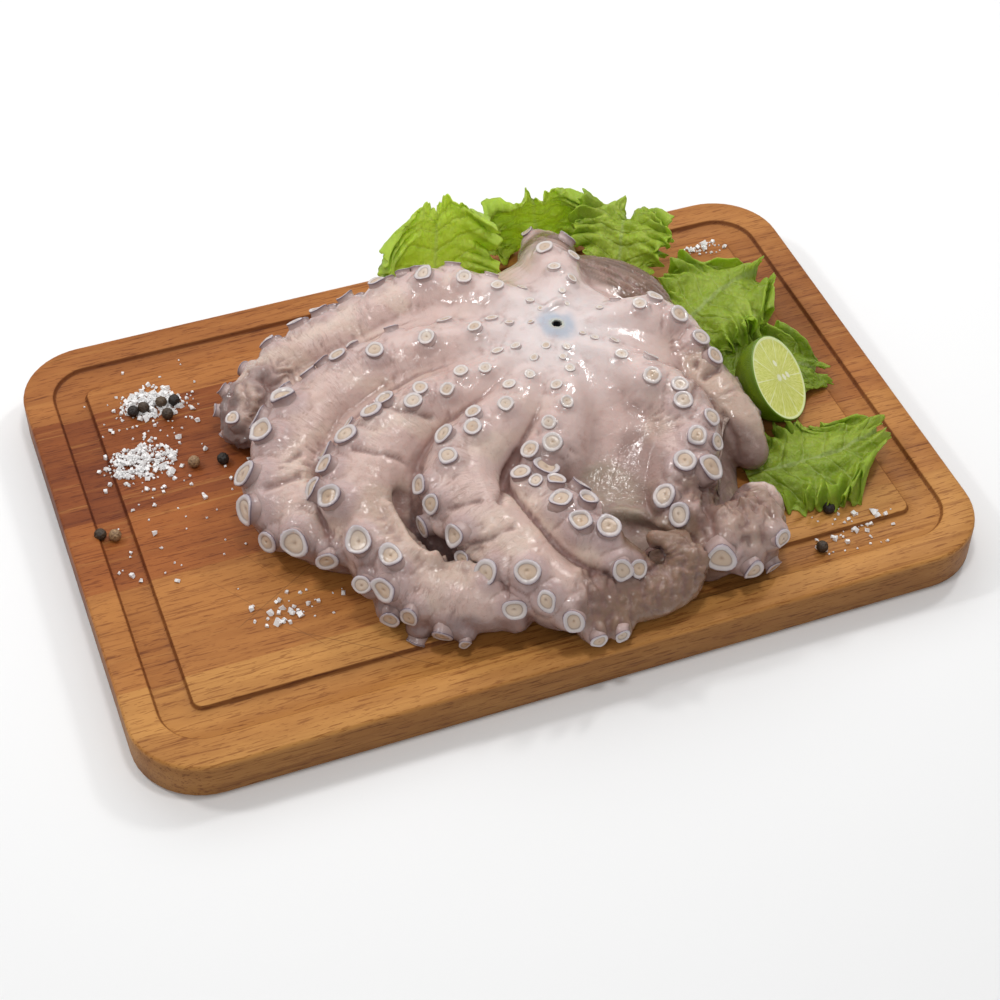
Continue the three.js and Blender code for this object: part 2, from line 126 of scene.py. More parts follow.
class Finish:
    """A material made of nodes."""

    def __init__(self, name):
        self.material = bpy.data.materials.new(name)
        self.material.use_nodes = True
        self.tree = self.material.node_tree
        self.tree.nodes.clear()
        self.output = self.tree.nodes.new("ShaderNodeOutputMaterial")

    def add(self, kind, settings=None, sockets=None):
        node = self.tree.nodes.new(kind)
        for name, setting in (settings or {}).items():
            if name == "stops":
                self.set_stops(node.color_ramp, setting)
            else:
                setattr(node, name, setting)
        for name, value in (sockets or {}).items():
            source = value.socket if isinstance(value, Value) else value
            socket = node.inputs[name]
            if isinstance(source, bpy.types.NodeSocket):
                self.tree.links.new(source, socket)
            else:
                socket.default_value = (*source, 1) if socket.type == "RGBA" else source
        return node

    @staticmethod
    def set_stops(ramp, stops):
        while len(ramp.elements) < len(stops):
            ramp.elements.new(1)
        for element, (position, colour) in zip(ramp.elements, stops):
            element.position = position
            element.color = (*colour, 1)

    def place(self):
        return self.add("ShaderNodeTexCoord").outputs["Object"]

    def attribute(self, name):
        node = self.add("ShaderNodeAttribute", {"attribute_name": name})
        return Value(self, node.outputs["Fac"])

    def attributes(self, *names):
        return [self.attribute(name) for name in names]

    def join(self, x, y, z=0.0):
        return self.add("ShaderNodeCombineXYZ", None, {"X": x, "Y": y, "Z": z}).outputs["Vector"]

    def parts(self, vector):
        node = self.add("ShaderNodeSeparateXYZ", None, {"Vector": vector})
        return [Value(self, socket) for socket in node.outputs]

    def noise(self, vector, scale, detail=4.0, roughness=0.55, distortion=0.0):
        sockets = {"Vector": vector, "Scale": scale, "Detail": detail}
        sockets |= {"Roughness": roughness, "Distortion": distortion}
        return Value(self, self.add("ShaderNodeTexNoise", None, sockets).outputs["Fac"])

    def cells(self, vector, scale, feature="F1"):
        settings = {"feature": feature}
        node = self.add("ShaderNodeTexVoronoi", settings, {"Vector": vector, "Scale": scale})
        return Value(self, node.outputs["Distance"])

    def mix(self, share, first, second, blend="MIX"):
        settings = {"data_type": "RGBA", "blend_type": blend}
        sockets = {0: share, 6: first, 7: second}
        return self.add("ShaderNodeMix", settings, sockets).outputs[2]

    def washed(self, colour, *washes):
        """A colour with others laid over it, each given by its share, its colour and its blend."""
        for share, other, *blend in washes:
            colour = self.mix(share, colour, other, *blend)
        return colour

    def ramp(self, value, stops):
        return self.add("ShaderNodeValToRGB", {"stops": stops}, {"Fac": value}).outputs["Color"]

    def bump(self, height, distance, strength=1.0, normal=None):
        sockets = {"Height": height, "Distance": distance, "Strength": strength}
        if normal is not None:
            sockets["Normal"] = normal
        return self.add("ShaderNodeBump", None, sockets).outputs["Normal"]

    def shader(self, **sockets):
        names = {name.replace("_", " "): value for name, value in sockets.items()}
        node = self.add("ShaderNodeBsdfPrincipled", {"subsurface_method": "RANDOM_WALK"}, names)
        return node.outputs[0]

    def ended(self, shader):
        self.tree.links.new(shader, self.output.inputs["Surface"])
        return self.material

    def surface(self, **sockets):
        return self.ended(self.shader(**sockets))


# ---------------------------------------------------------------- mesh helpers


def loft(shape, rings, first_pole=None, last_pole=None):
    """Sweeps a closed loop of vertices through rings of equally many points.
    An end with a pole is closed to that point."""
    loop = bmesh.ops.create_circle(shape, segments=len(rings[0]))["verts"]
    for vertex, point in zip(loop, rings[0]):
        vertex.co = point
    first = loop
    for ring in rings[1:]:
        edges = [edge_between(a, b) for a, b in zip(loop, loop[1:] + loop[:1])]
        grown = bmesh.ops.extrude_edge_only(shape, edges=edges)["geom"]
        fresh = {item for item in grown if isinstance(item, bmesh.types.BMVert)}
        loop = [next(n for n in neighbours(v) if n in fresh) for v in loop]
        for vertex, point in zip(loop, ring):
            vertex.co = point
    for end, pole in ((first, first_pole), (loop, last_pole)):
        if pole is not None:
            edges = [edge_between(a, b) for a, b in zip(end, end[1:] + end[:1])]
            grown = bmesh.ops.extrude_edge_only(shape, edges=edges)["geom"]
            fresh = [item for item in grown if isinstance(item, bmesh.types.BMVert)]
            bmesh.ops.pointmerge(shape, verts=fresh, merge_co=pole)


def angles_round(sides):
    return [2 * math.pi * i / sides for i in range(sides)]


def circle(radius, height, sides):
    """The points of a level circle round the Z axis."""
    angles = angles_round(sides)
    return [Vector((radius * math.cos(a), radius * math.sin(a), height)) for a in angles]


def neighbours(vertex):
    return (edge.other_vert(vertex) for edge in vertex.link_edges)


def edge_between(a, b):
    return next(edge for edge in a.link_edges if edge.other_vert(a) is b)


def mesh_object(shape, name):
    mesh = bpy.data.meshes.new(name)
    shape.to_mesh(mesh)
    shape.free()
    thing = bpy.data.objects.new(name, mesh)
    bpy.context.collection.objects.link(thing)
    return thing


def evaluated_shape(thing):
    """The shape of an object with its modifiers, which is then removed."""
    graph = bpy.context.evaluated_depsgraph_get()
    mesh = bpy.data.meshes.new_from_object(thing.evaluated_get(graph))
    shape = bmesh.new()
    shape.from_mesh(mesh)
    bpy.data.objects.remove(thing)
    bpy.data.meshes.remove(mesh)
    return shape


def finish_piece(shape, name, finish, nodes=(), outwards=True, smooth=True):
    """Brings a shape to metres and adds it to the part."""
    bmesh.ops.scale(shape, vec=(MM, MM, MM), verts=shape.verts)
    if outwards:
        bmesh.ops.recalc_face_normals(shape, faces=shape.faces)
    for face in shape.faces:
        face.smooth = smooth
    piece = mesh_object(shape, name)
    piece.data.materials.append(finish)
    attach(piece, "root")
    if nodes:
        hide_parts(*nodes)
    return piece


def set_attribute(shape, name, values):
    layer = shape.verts.layers.float.new(name)
    for vertex, value in zip(shape.verts, values):
        vertex[layer] = value


def random_stream(seed):
    """A repeatable stream of numbers from 0 to 1, the same as the solids use."""
    state = seed
    while True:
        state = (state * 16807) % 2147483647
        yield state / 2147483647


# ---------------------------------------------------------------- octopus: arms

MOUTH = Vector((44, 16, BOARD_TOP + 64))

# How far along an arm's points the web reaches, and the points themselves: x, y, height over the
# board, radius and roll in degrees.
ARMS = {
    "back": (
        4,
        (48, 29, 54, 8, 0), (56, 44, 52, 11, 0), (62, 61, 47, 15, 0), (66, 82, 40, 16, 0),
        (73, 103, 28, 16, 0), (80, 121, 16, 14, 0),
    ),
    "right": (
        5,
        (55, 15, 54, 8, 0), (73, 17, 52, 11, 0), (94, 16, 46, 16, -10), (107, 8, 38, 17, -40),
        (111, -10, 31, 16, -70), (115, -31, 25, 17, -90), (120, -50, 19, 16, -90),
        (124, -62, 14, 10, -90),
    ),
    "right front": (
        7,
        (48, 3, 54, 8, 0), (61, -8, 51, 11, 0), (73, -27, 46, 16, -10), (86, -39, 38, 19, -20),
        (87, -58, 32, 19, 0), (78, -73, 26, 19, 20), (69, -91, 21, 18, 30),
        (72, -108, 17, 16, 20), (85, -117, 17, 17, 0), (99, -114, 18, 17, 0),
        (108, -103, 17, 14, 0),
    ),
    "front": (
        5.7,
        (40, 1, 54, 8, 0), (37, -14, 50, 11, 0), (30, -30, 45, 15, 0), (24, -39, 38, 18, 10),
        (15, -47, 31, 19, 30), (-1, -57, 26, 15, 0), (2, -80, 27, 17, -50),
        (11, -100, 26, 17, -45), (22, -115, 24, 14, -40), (34, -122, 22, 8, -20),
    ),
    "front left": (
        4.7,
        (34, 4, 54, 8, 0), (23, -8, 50, 11, 0), (5, -23, 45, 15, 0), (-9, -30, 40, 18, 10),
        (-26, -40, 35, 20, 25), (-35, -56, 32, 21, 30), (-32, -75, 28, 21, 20),
        (-24, -94, 24, 20, 10), (-17, -112, 20, 19, 20), (-5, -125, 16, 17, 50),
        (12, -132, 14, 13, 90), (31, -135, 13, 12, 110), (48, -134, 15, 12, 120),
        (56, -130, 21, 11, 120), (52, -122, 27, 9, 120), (45, -116, 30, 6, 120),
    ),
    "left": (
        5.6,
        (29, 9, 54, 8, 0), (13, 5, 50, 11, 0), (-11, 0, 43, 15, 0), (-33, 0, 36, 18, 15),
        (-56, -10, 30, 21, 40), (-72, -24, 26, 22, 50), (-84, -41, 22, 22, 40),
        (-83, -63, 18, 19, 20), (-75, -85, 16, 18, 30), (-60, -101, 15, 17, 40),
        (-43, -111, 14, 16, 40), (-28, -117, 12, 13, 40),
    ),
    "left back": (
        7,
        (32, 19, 54, 8, 0), (16, 26, 50, 11, 0), (-8, 34, 43, 15, 0), (-32, 41, 35, 18, 20),
        (-60, 38, 27, 20, 45), (-83, 29, 22, 20, 60), (-103, 12, 19, 20, 70),
        (-114, -10, 18, 19, 75), (-113, -29, 16, 17, 60), (-104, -45, 14, 15, 40),
        (-90, -58, 12, 13, 30),
    ),
    "back left": (
        8,
        (39, 28, 54, 8, 0), (33, 43, 52, 11, 0), (20, 61, 46, 15, 5), (5, 78, 40, 17, 15),
        (-18, 84, 32, 18, 40), (-43, 84, 25, 17, 60), (-67, 82, 20, 16, 70),
        (-89, 76, 17, 15, 80), (-106, 66, 15, 14, 90), (-117, 58, 13, 12, 90),
        (-122, 48, 10, 8, 90),
    ),
}
WEB_SAG = 9.0
WEB_RISE = 0.75
WEB_RINGS = 24
WEB_STEPS = 8
WEB_FLOOR = 10
SKIRT_REACH = 2.5
SKIRT_HEIGHT = 0.3
HEAD = {"place": (87, 60, 20), "half": (44, 35, 28), "turn": -40.0}


def on_curve(rows, place):
    """A smooth curve through rows of numbers, at places counted in rows."""
    rows = np.asarray(rows, float)
    place = np.clip(np.asarray(place, float), 0, len(rows) - 1)
    start = np.minimum(place.astype(int), len(rows) - 2)
    share = (place - start)[..., None]
    longer = np.vstack([2 * rows[0] - rows[1], rows, 2 * rows[-1] - rows[-2]])
    a, b, c, d = (longer[start + k] for k in range(4))
    slope_b, slope_c = (c - a) / 2, (d - b) / 2
    square, cube = share**2, share**3
    return (
        (2 * cube - 3 * square + 1) * b
        + (cube - 2 * square + share) * slope_b
        + (3 * square - 2 * cube) * c
        + (cube - square) * slope_c
    )


class Arm:
    """An arm's centreline with its radius, roll and directions."""

    FINE = 30

    def __init__(self, rows, web):
        self.rows = np.array(rows, float)
        self.rows[:, 2] += BOARD_TOP
        self.last = len(rows) - 1
        self.web = web
        self.places = np.linspace(0, self.last, self.last * self.FINE + 1)
        steps = np.diff(on_curve(self.rows, self.places)[:, :3], axis=0)
        self.lengths = np.concatenate([[0], np.cumsum(np.linalg.norm(steps, axis=1))])
        self.length = self.lengths[-1]

    def by_row(self, place):
        row = on_curve(self.rows, place)
        return Vector(row[:3]), row[3]

    def at(self, distance):
        """The centre, radius, roll, the directions along, aside and over, and the drape."""
        place = float(np.interp(distance, self.lengths, self.places))
        x, y, z, radius, roll = on_curve(self.rows, place)
        ahead = on_curve(self.rows, place + 0.01) - on_curve(self.rows, place - 0.01)
        along = Vector(ahead[:3]).normalized()
        aside = along.cross(UP).normalized()
        drape = min(1.0, max(0.0, self.web + 1 - place))
        return Vector((x, y, z)), radius, roll, along, aside, aside.cross(along), drape

    def outwards(self, distance, degrees):
        """The direction from the centre at so many degrees from straight over."""
        _, _, _, _, aside, over, _ = self.at(distance)
        angle = math.radians(degrees)
        return over * math.cos(angle) + aside * math.sin(angle)


arms = {name: Arm(rows, web) for name, (web, *rows) in ARMS.items()}
ARM_SIDES = 28
ARM_STEP = 3.0
TIP_DEGREES = (20, 40, 60, 78)


def arm_ring(place, radius, ahead=0.0):
    centre, _, _, along, aside, over, drape = place
    points = []
    for angle in angles_round(ARM_SIDES):
        flat = aside * math.cos(angle) + over * math.sin(angle)
        point = centre + along * ahead + flat * radius
        hang = drape * math.sqrt(max(0.0, -math.sin(angle)))
        point.z = min(point.z, point.z * (1 - hang))
        points.append(point)
    return points


def add_arm(shape, arm):
    count = math.ceil(arm.length / ARM_STEP)
    places = [arm.at(arm.length * i / count) for i in range(count + 1)]
    rings = [arm_ring(place, place[1]) for place in places]
    centre, radius, _, along, _, _, _ = places[-1]
    for degrees in TIP_DEGREES:
        angle = math.radians(degrees)
        rings.append(arm_ring(places[-1], radius * math.cos(angle), radius * math.sin(angle)))
    loft(shape, rings, places[0][0], centre + along * radius)


def web_ring(share):
    """A ring of the web round the mouth, at a share of the way out."""
    reach = [arm.by_row(arm.web * share) for arm in arms.values()]
    ring = []
    for i, (start, start_radius) in enumerate(reach):
        end, end_radius = reach[(i + 1) % len(reach)]
        for step in range(WEB_STEPS):
            part = step / WEB_STEPS
            point = start.lerp(end, part)
            lift = (start_radius + (end_radius - start_radius) * part) * WEB_RISE
            point.z += lift - WEB_SAG * share * math.sin(math.pi * part)
            ring.append(point)
    return ring


def skirt_ring():
    """The low flesh between the arms, farther out than the web."""
    reach = [arm.by_row(min(arm.last - 1, arm.web + SKIRT_REACH))[0] for arm in arms.values()]
    ring = []
    for i, start in enumerate(reach):
        for step in range(WEB_STEPS):
            point = start.lerp(reach[(i + 1) % len(reach)], step / WEB_STEPS)
            point.z = BOARD_TOP + (point.z - BOARD_TOP) * SKIRT_HEIGHT
            ring.append(point)
    return ring


def add_web(shape):
    rings = [web_ring(k / WEB_RINGS) for k in range(1, WEB_RINGS + 1)] + [skirt_ring()]
    rings.append([Vector((point.x, point.y, WEB_FLOOR)) for point in rings[-1]])
    loft(shape, rings, MOUTH.copy(), Vector((MOUTH.x, MOUTH.y, WEB_FLOOR)))


def head_matrix():
    x, y, z = HEAD["place"]
    turn = Matrix.Rotation(math.radians(HEAD["turn"]), 4, "Z")
    return Matrix.Translation((x, y, z + BOARD_TOP)) @ turn @ Matrix.Diagonal((*HEAD["half"], 1))


def add_head(shape):
    bmesh.ops.create_uvsphere(shape, u_segments=48, v_segments=32, radius=1, matrix=head_matrix())


# ---------------------------------------------------------------- octopus: skin

VOXEL = 1.3
# Rounds of smoothing, and how far from the mouth they reach.
SETTLING = ((6, 1e3), (12, 90), (16, 62), (20, 42))
# Rounds of blur that show the wide hollows and the narrow creases of the skin; the skin is painted
# darker in the hollows as painted shade and lighter on the ridges as painted light.
HOLLOW_ROUNDS = 90
CREASE_ROUNDS = 8
# Round ends of flesh that stand out of the arms: x, y, height over the board and radius.
LUMPS = (
    (-103, -54, 18, 9), (-124, -31, 11, 8), (-89, -84, 17, 9), (-85, -93, 9, 9),
    (-74, -106, 6, 8), (-56, -117, 7, 8), (-31, -124, 10, 8), (3, -141, 10, 9.5),
    (15, -142, 9, 9), (90, -125, 11, 10), (101, -121, 8, 9), (104, -120, 17, 9),
    (111, -4, 41, 10), (113, -16, 37, 10), (-121, 45, 11, 8), (-114, 40, 10, 7),
    (-61, -50, 17, 12), (-58, -64, 12, 10), (-55, -77, 9, 9),
)
# Raised lips of skin, or creases where the height is negative: height, width and path.
FOLDS = (
    (3.2, 3.2, ((-74, -56, 37), (-73, -69, 33), (-70, -85, 32), (-63, -94, 32))),
    (1.6, 2.6, ((-63, -94, 32), (-56, -97, 32), (-47, -101, 30))),
    (-3.5, 5.0, ((-65, -47, 32), (-60, -60, 27), (-56, -72, 22), (-54, -84, 24))),
    (2.8, 3.0, (
        (22, -93, 36), (30, -88, 30), (38, -89, 25), (47, -94, 25), (54, -104, 26), (61, -118, 30),
    )),
    (-5.0, 5.5, ((32, -97, 30), (42, -102, 24), (48, -112, 26), (46, -120, 28))),
    (-1.6, 1.8, ((-58, -1, 49), (-48, -9, 51), (-37, -14, 48), (-30, -26, 50))),
    (-1.5, 1.8, ((-80, -21, 46), (-71, -28, 47), (-59, -32, 43), (-51, -38, 38))),
    (-1.6, 1.6, ((-55, -67, 36), (-45, -75, 45), (-33, -78, 48))),
    (-1.6, 1.6, ((-43, -94, 37), (-35, -97, 41), (-23, -96, 43))),
    (-2.4, 2.0, ((118, -13, 45), (109, -20, 44), (96, -36, 53))),
    (-2.4, 2.0, ((119, -26, 42), (110, -29, 43), (97, -44, 52), (89, -54, 53))),
    (-2.2, 2.0, ((62, -99, 35), (70, -97, 37), (79, -96, 35), (87, -92, 26))),
    (-2.2, 2.0, ((70, -114, 32), (69, -120, 29), (69, -126, 25), (82, -131, 26), (87, -129, 28))),
    (-3.0, 2.6, ((-104, 64, 29), (-101, 57, 25), (-99, 50, 23))),
    (-1.8, 1.8, ((-110, 73, 27), (-118, 68, 24), (-124, 60, 20))),
    (-1.8, 2.0, ((-108, -18, 34), (-116, -20, 35), (-125, -20, 32))),
    (-1.5, 1.8, ((-103, -5, 36), (-110, -8, 36), (-118, -8, 34))),
    (-2.5, 2.5, ((-2, -50, 43), (-12, -58, 36), (-23, -79, 46))),
    (1.4, 1.8, ((43, 29, 61), (48, 32, 61), (53, 33, 61))),
    (-1.6, 2.0, ((90, -112, 34), (98, -117, 34), (104, -112, 33))),
    (-2.0, 2.0, ((78, -103, 34), (88, -110, 33), (99, -104, 30))),
    (-1.5, 1.6, ((96, 66, 46), (100, 54, 46), (106, 44, 42))),
    (-1.5, 1.6, ((86, 72, 46), (93, 58, 48), (98, 46, 46))),
    (-3.0, 2.4, ((89, -85, 34), (80, -95, 34), (78, -105, 32), (74, -121, 31), (70, -128, 23))),
    (-1.7, 1.5, ((90, -102, 37), (92, -119, 34), (89, -132, 26))),
    (-1.7, 1.5, ((97, -101, 36), (100, -116, 34), (97, -132, 25))),
    (-1.5, 1.4, ((104, -107, 34), (107, -118, 32), (104, -130, 22))),
    (1.5, 2.0, ((84, -110, 34), (85, -122, 32), (83, -131, 25))),
    (1.3, 1.8, ((95, -98, 35), (96, -112, 36), (93, -128, 30))),
    (-1.6, 1.6, ((111, -50, 35), (114, -62, 26), (113, -68, 14))),
    *(
        (-1.4, 1.5, ((x, -122, 27), (x + 2, -134, 29), (x, -146, 20), (x - 1, -152, 6)))
        for x in range(0, 58, 7)
    ),
)
# Where the skin is crumpled: radius and path.
CRUMPLES = (
    (21, ((72, -102, 34), (88, -112, 33), (104, -112, 28))),
    (16, ((8, -134, 24), (26, -140, 24), (44, -138, 24), (56, -128, 24))),
    (17, ((-100, 62, 28), (-112, 54, 24), (-121, 46, 16))),
    (10, ((-62, -76, 34), (-56, -88, 32), (-46, -96, 32))),
    (12, ((-96, -60, 22), (-86, -78, 22), (-70, -100, 18))),
)
# Depths of the seams between arms and of the mantle's streaks, and what the folds are grown by.
SEAM_DEPTH = 1.6
STREAK_DEPTH = 0.5
FOLD_GAIN = 1.3
MOUTH_PIT = {"depth": 7.0, "rim": 3.4, "wall": 1.6}
# The middle of the streaked part of the mantle.
MANTLE = ((74, 92, 36), (84, 84, 40), (93, 77, 44), (106, 62, 43), (112, 46, 40))
FLESH = {
    "round the mouth": (0.645, 0.555, 0.54),
    "inner arm": (0.61, 0.455, 0.415),
    "outer arm": (0.56, 0.40, 0.335),
    "rose": (0.50, 0.335, 0.295),
    "cream": (0.66, 0.52, 0.42),
    # ridge is painted light on the ridges; hollow is painted shade in the hollows.
    "ridge": (0.68, 0.56, 0.53),
    "hollow": (0.30, 0.165, 0.135),
    "round a sucker": (0.37, 0.265, 0.275),
    "painted shade near the board": (0.29, 0.18, 0.145),
    "painted shade facing down": (0.22, 0.155, 0.15),
    "dark streak": (0.09, 0.055, 0.04),
    "pale streak": (0.36, 0.25, 0.20),
    # Painted shade along the folds.
    "fold_shade": (0.24, 0.15, 0.14),
    # Painted shade in the creases.
    "crease_shade": (0.26, 0.145, 0.125),
    "halo": (0.34, 0.39, 0.47),
    "lip": (0.50, 0.50, 0.42),
}
# Where the skin is darker, by its own colour or by painted shade: the colour, then radius, strength
# and path of each patch.
TINTS = {
    "tan": (
        (0.50, 0.37, 0.295),
        (20, 0.9, ((118, -26, 40), (118, -45, 37), (120, -64, 25))),
        (18, 0.6, ((-117, 52, 22), (-104, 60, 25), (-90, 66, 28))),
        (14, 0.7, ((-75, -55, 37), (-70, -80, 32), (-50, -100, 30))),
    ),
    "grey green": (
        (0.30, 0.235, 0.175),
        (13, 0.75, ((36, -70, 29), (42, -80, 28), (48, -88, 28))),
        (8, 0.9, ((27, -90, 30), (38, -89, 25), (47, -94, 25), (54, -104, 26), (61, -118, 30))),
    ),
    "lilac": (
        (0.30, 0.215, 0.205),
        (12, 0.9, ((-127, -33, 10), (-118, -48, 8), (-106, -60, 16), (-97, -75, 8))),
        (12, 0.9, ((-95, -86, 18), (-88, -97, 9), (-74, -110, 6), (-56, -122, 8))),
        (10, 0.8, ((-56, -122, 8), (-32, -130, 10), (-12, -138, 6))),
        (9, 0.8, ((-104, 64, 29), (-101, 57, 25), (-99, 48, 22))),
        (12, 0.8, ((90, -134, 8), (103, -127, 6), (110, -120, 14))),
        (10, 0.7, ((118, -4, 40), (121, -18, 36))),
    ),
    "brown": (
        (0.235, 0.145, 0.10),
        (21, 1.0, (
            (12, -138, 16), (30, -142, 16), (47, -142, 16), (58, -133, 16), (54, -122, 24),
        )),
        (9, 1.0, ((27, -104, 34), (33, -113, 32), (42, -121, 30))),
        (14, 0.75, ((80, -100, 30), (95, -110, 30), (100, -104, 28), (104, -112, 26))),
        (17, 0.4, ((72, -106, 34), (88, -114, 33), (102, -116, 26))),
        (12, 0.5, ((75, -118, 28), (90, -127, 22), (104, -124, 16))),
    ),
    # Partly the dark purple skin of the arm tips and partly painted shade, in the valleys and
    # creases and along the line where the arms meet the board.
    "plum skin and painted shade": (
        (0.085, 0.055, 0.06),
        (9, 0.7, ((-121, 66, 19), (-126, 54, 17), (-124, 42, 11), (-114, 37, 9))),
        (9, 0.9, ((-58, -60, 24), (-54, -72, 18), (-53, -84, 21), (-45, -92, 22))),
        (7, 1.0, ((33, -100, 28), (43, -108, 25), (48, -118, 25))),
        (8, 0.9, ((97, -90, 16), (101, -98, 22))),
        (5, 0.8, ((-127, -40, 2), (-104, -66, 2), (-88, -100, 2), (-72, -116, 2), (-50, -126, 2))),
        (5, 0.8, ((-30, -134, 2), (-8, -146, 2), (20, -151, 2), (45, -150, 2))),
        (6, 0.8, ((82, -134, 2), (100, -132, 2), (112, -122, 4))),
    ),
    "mantle": (
        (0.20, 0.125, 0.09),
        (24, 1.0, MANTLE),
    ),
    # Painted shade: darker patches in valleys, creases and the low parts of the arms.
    "painted shade patches": (
        (0.23, 0.145, 0.125),
        (10, 0.8, ((112, -57, 26), (121, -68, 20), (131, -70, 16))),
        (14, 0.9, ((111, -72, 10), (103, -86, 14), (94, -94, 20))),
        (7, 0.6, ((89, -85, 34), (80, -95, 34), (78, -105, 32), (74, -121, 31))),
        (9, 0.7, ((-58, -58, 30), (-52, -72, 26), (-48, -86, 24))),
        (13, 0.55, ((94, -30, 44), (98, -48, 40), (96, -62, 34))),
        (10, 0.5, ((0, -136, 24), (16, -132, 30), (30, -130, 30))),
        (13, 0.6, ((8, -62, 38), (14, -76, 32), (22, -88, 28))),
        (12, 0.6, ((56, -62, 42), (60, -76, 36), (58, -92, 31))),
        (9, 0.7, ((-47, -33, 36), (-50, -44, 34), (-56, -56, 28))),
        (15, 0.25, ((-102, 62, 30), (-112, 56, 28), (-119, 48, 22))),
    ),
}


def joined_body():
    """Arms, web and head as one closed skin."""
    shape = bmesh.new()
    add_web(shape)
    add_head(shape)
    for arm in arms.values():
        add_arm(shape, arm)
    for x, y, z, radius in LUMPS:
        at = Matrix.Translation((x, y, z + BOARD_TOP))
        bmesh.ops.create_uvsphere(shape, u_segments=20, v_segments=14, radius=radius, matrix=at)
    bmesh.ops.recalc_face_normals(shape, faces=shape.faces)
    rough = mesh_object(shape, "rough body")
    remesh = rough.modifiers.new("skin", "REMESH")
    remesh.mode = "VOXEL"
    remesh.voxel_size = VOXEL
    return evaluated_shape(rough)


def settle(shape):
    """Rounds the creases between the arms, most of all near the mouth."""
    for rounds, reach in SETTLING:
        near = [v for v in shape.verts if (v.co - MOUTH).length < reach and v.co.z > BOARD_TOP - 3]
        for _ in range(rounds):
            bmesh.ops.smooth_vert(
                shape, verts=near, factor=0.5, use_axis_x=True, use_axis_y=True, use_axis_z=True
            )


def cut_flat(shape):
    """Ends the flesh where it lies on the board."""
    geometry = [*shape.verts, *shape.edges, *shape.faces]
    floor = (0, 0, BOARD_TOP + GAP)
    bmesh.ops.bisect_plane(shape, geom=geometry, plane_co=floor, plane_no=UP, clear_inner=True)
    open_edges = [edge for edge in shape.edges if edge.is_boundary]
    bmesh.ops.holes_fill(shape, edges=open_edges, sides=0)


def nearest_arms(points):
    """For each point the distance along the arm that holds it, how far round that arm it is
    from the sucker side, as an angle, and how deep it lies in a seam between two arms."""
    best = np.full(len(points), 1e9)
    second = np.full(len(points), 1e9)
    along = np.zeros(len(points))
    around = np.zeros(len(points))
    for arm in arms.values():
        distances = np.arange(0, arm.length, 2.5)
        frames = [arm.at(d) for d in distances]
        centres = np.array([f[0] for f in frames])
        radii = np.array([f[1] for f in frames])
        ahead = np.array([f[3] for f in frames])
        oral = np.array([arm.outwards(d, f[2]) for d, f in zip(distances, frames)])
        beside = np.cross(ahead, oral)
        for start in range(0, len(points), 20000):
            chunk = slice(start, start + 20000)
            gaps = np.linalg.norm(points[chunk, None, :] - centres[None], axis=2)
            which = np.argmin(gaps - radii * 0.6, axis=1)
            out = points[chunk] - centres[which]
            gap = np.linalg.norm(out, axis=1) - radii[which]
            closer = gap < best[chunk]
            second[chunk] = np.where(closer, best[chunk], np.minimum(second[chunk], gap))
            best[chunk] = np.where(closer, gap, best[chunk])
            shift = np.clip((out * ahead[which]).sum(axis=1), -2, 2)
            along[chunk] = np.where(closer, distances[which] + shift, along[chunk])
            turn = np.arctan2((out * beside[which]).sum(axis=1), (out * oral[which]).sum(axis=1))
            around[chunk] = np.where(closer, turn, around[chunk])
    return along, around, np.exp(-(((second - best) / 2.2) ** 2)) * smoothstep(-second, -9, -2)


def smoothstep(values, low, high):
    share = np.clip((values - low) / (high - low), 0, 1)
    return share * share * (3 - 2 * share)


def distance_to_path(points, path):
    """How far each point is from a chain of straight lines, given by heights over the board."""
    path = np.array(path, float) + (0, 0, BOARD_TOP)
    best = np.full(len(points), 1e9)
    for start, end in zip(path[:-1], path[1:]):
        run = end - start
        share = np.clip((points - start) @ run / (run @ run), 0, 1)
        best = np.minimum(best, np.linalg.norm(points - start - share[:, None] * run, axis=1))
    return best


def blurred(values, edges, rounds):
    """Values averaged with those of the neighbouring vertices."""
    ends = np.vstack([edges, edges[:, ::-1]])
    count = np.bincount(ends[:, 0], minlength=len(values))
    for _ in range(rounds):
        columns = [
            np.bincount(ends[:, 0], weights=column[ends[:, 1]], minlength=len(values))
            for column in values.T
        ]
        values = (values + np.array(columns).T / np.maximum(count, 1)[:, None]) / 2
    return values


def wrinkle(place, distance, turn):
    """The height of the skin's folds, most of which run round an arm."""
    over, beside = math.cos(turn), math.sin(turn)
    sway = distance + noise.noise(place / 15) * 6
    patches = min(1.0, max(0.0, 0.25 + noise.noise(place / 17 + Vector((9, 4, 2))) * 1.6))
    fine = noise.noise(Vector((sway / 2.2, over * 1.3, beside * 1.3)))
    ridge = 1 - 3 * abs(noise.noise(Vector((sway / 6.5, over, beside + 7))))
    return (fine * 0.7 + max(ridge, 0) * 0.5) * patches


def sucker_surroundings(points, spots):
    """How high the low stalks lift the skin, and how near each point is to a grown sucker."""
    lift = np.zeros(len(points))
    near = np.zeros(len(points))
    for hit, _, diameter, age in spots:
        reach = np.linalg.norm(points - np.array(hit), axis=1) / diameter
        lift = np.maximum(lift, diameter * (0.10 + 0.14 * age) * smoothstep(-reach, -1.0, -0.42))
        near = np.maximum(near, age * smoothstep(-reach, -1.0, -0.6))
    return lift, near


def mantle_streaks(points):
    """Long streaks on the mantle, from -1 where it is pale to 1 where it is dark."""
    across = points @ np.array([0.77, 0.64, 0.25])
    along = points @ np.array([0.64, -0.77, 0.0])
    lines = [noise.noise(Vector((a / 1.9, b / 34, 0))) for a, b in zip(across, along)]
    held = smoothstep(-distance_to_path(points, MANTLE) / 24, -1.0, -0.7)
    return np.clip(np.array(lines) * 2.6, -1, 1) * held


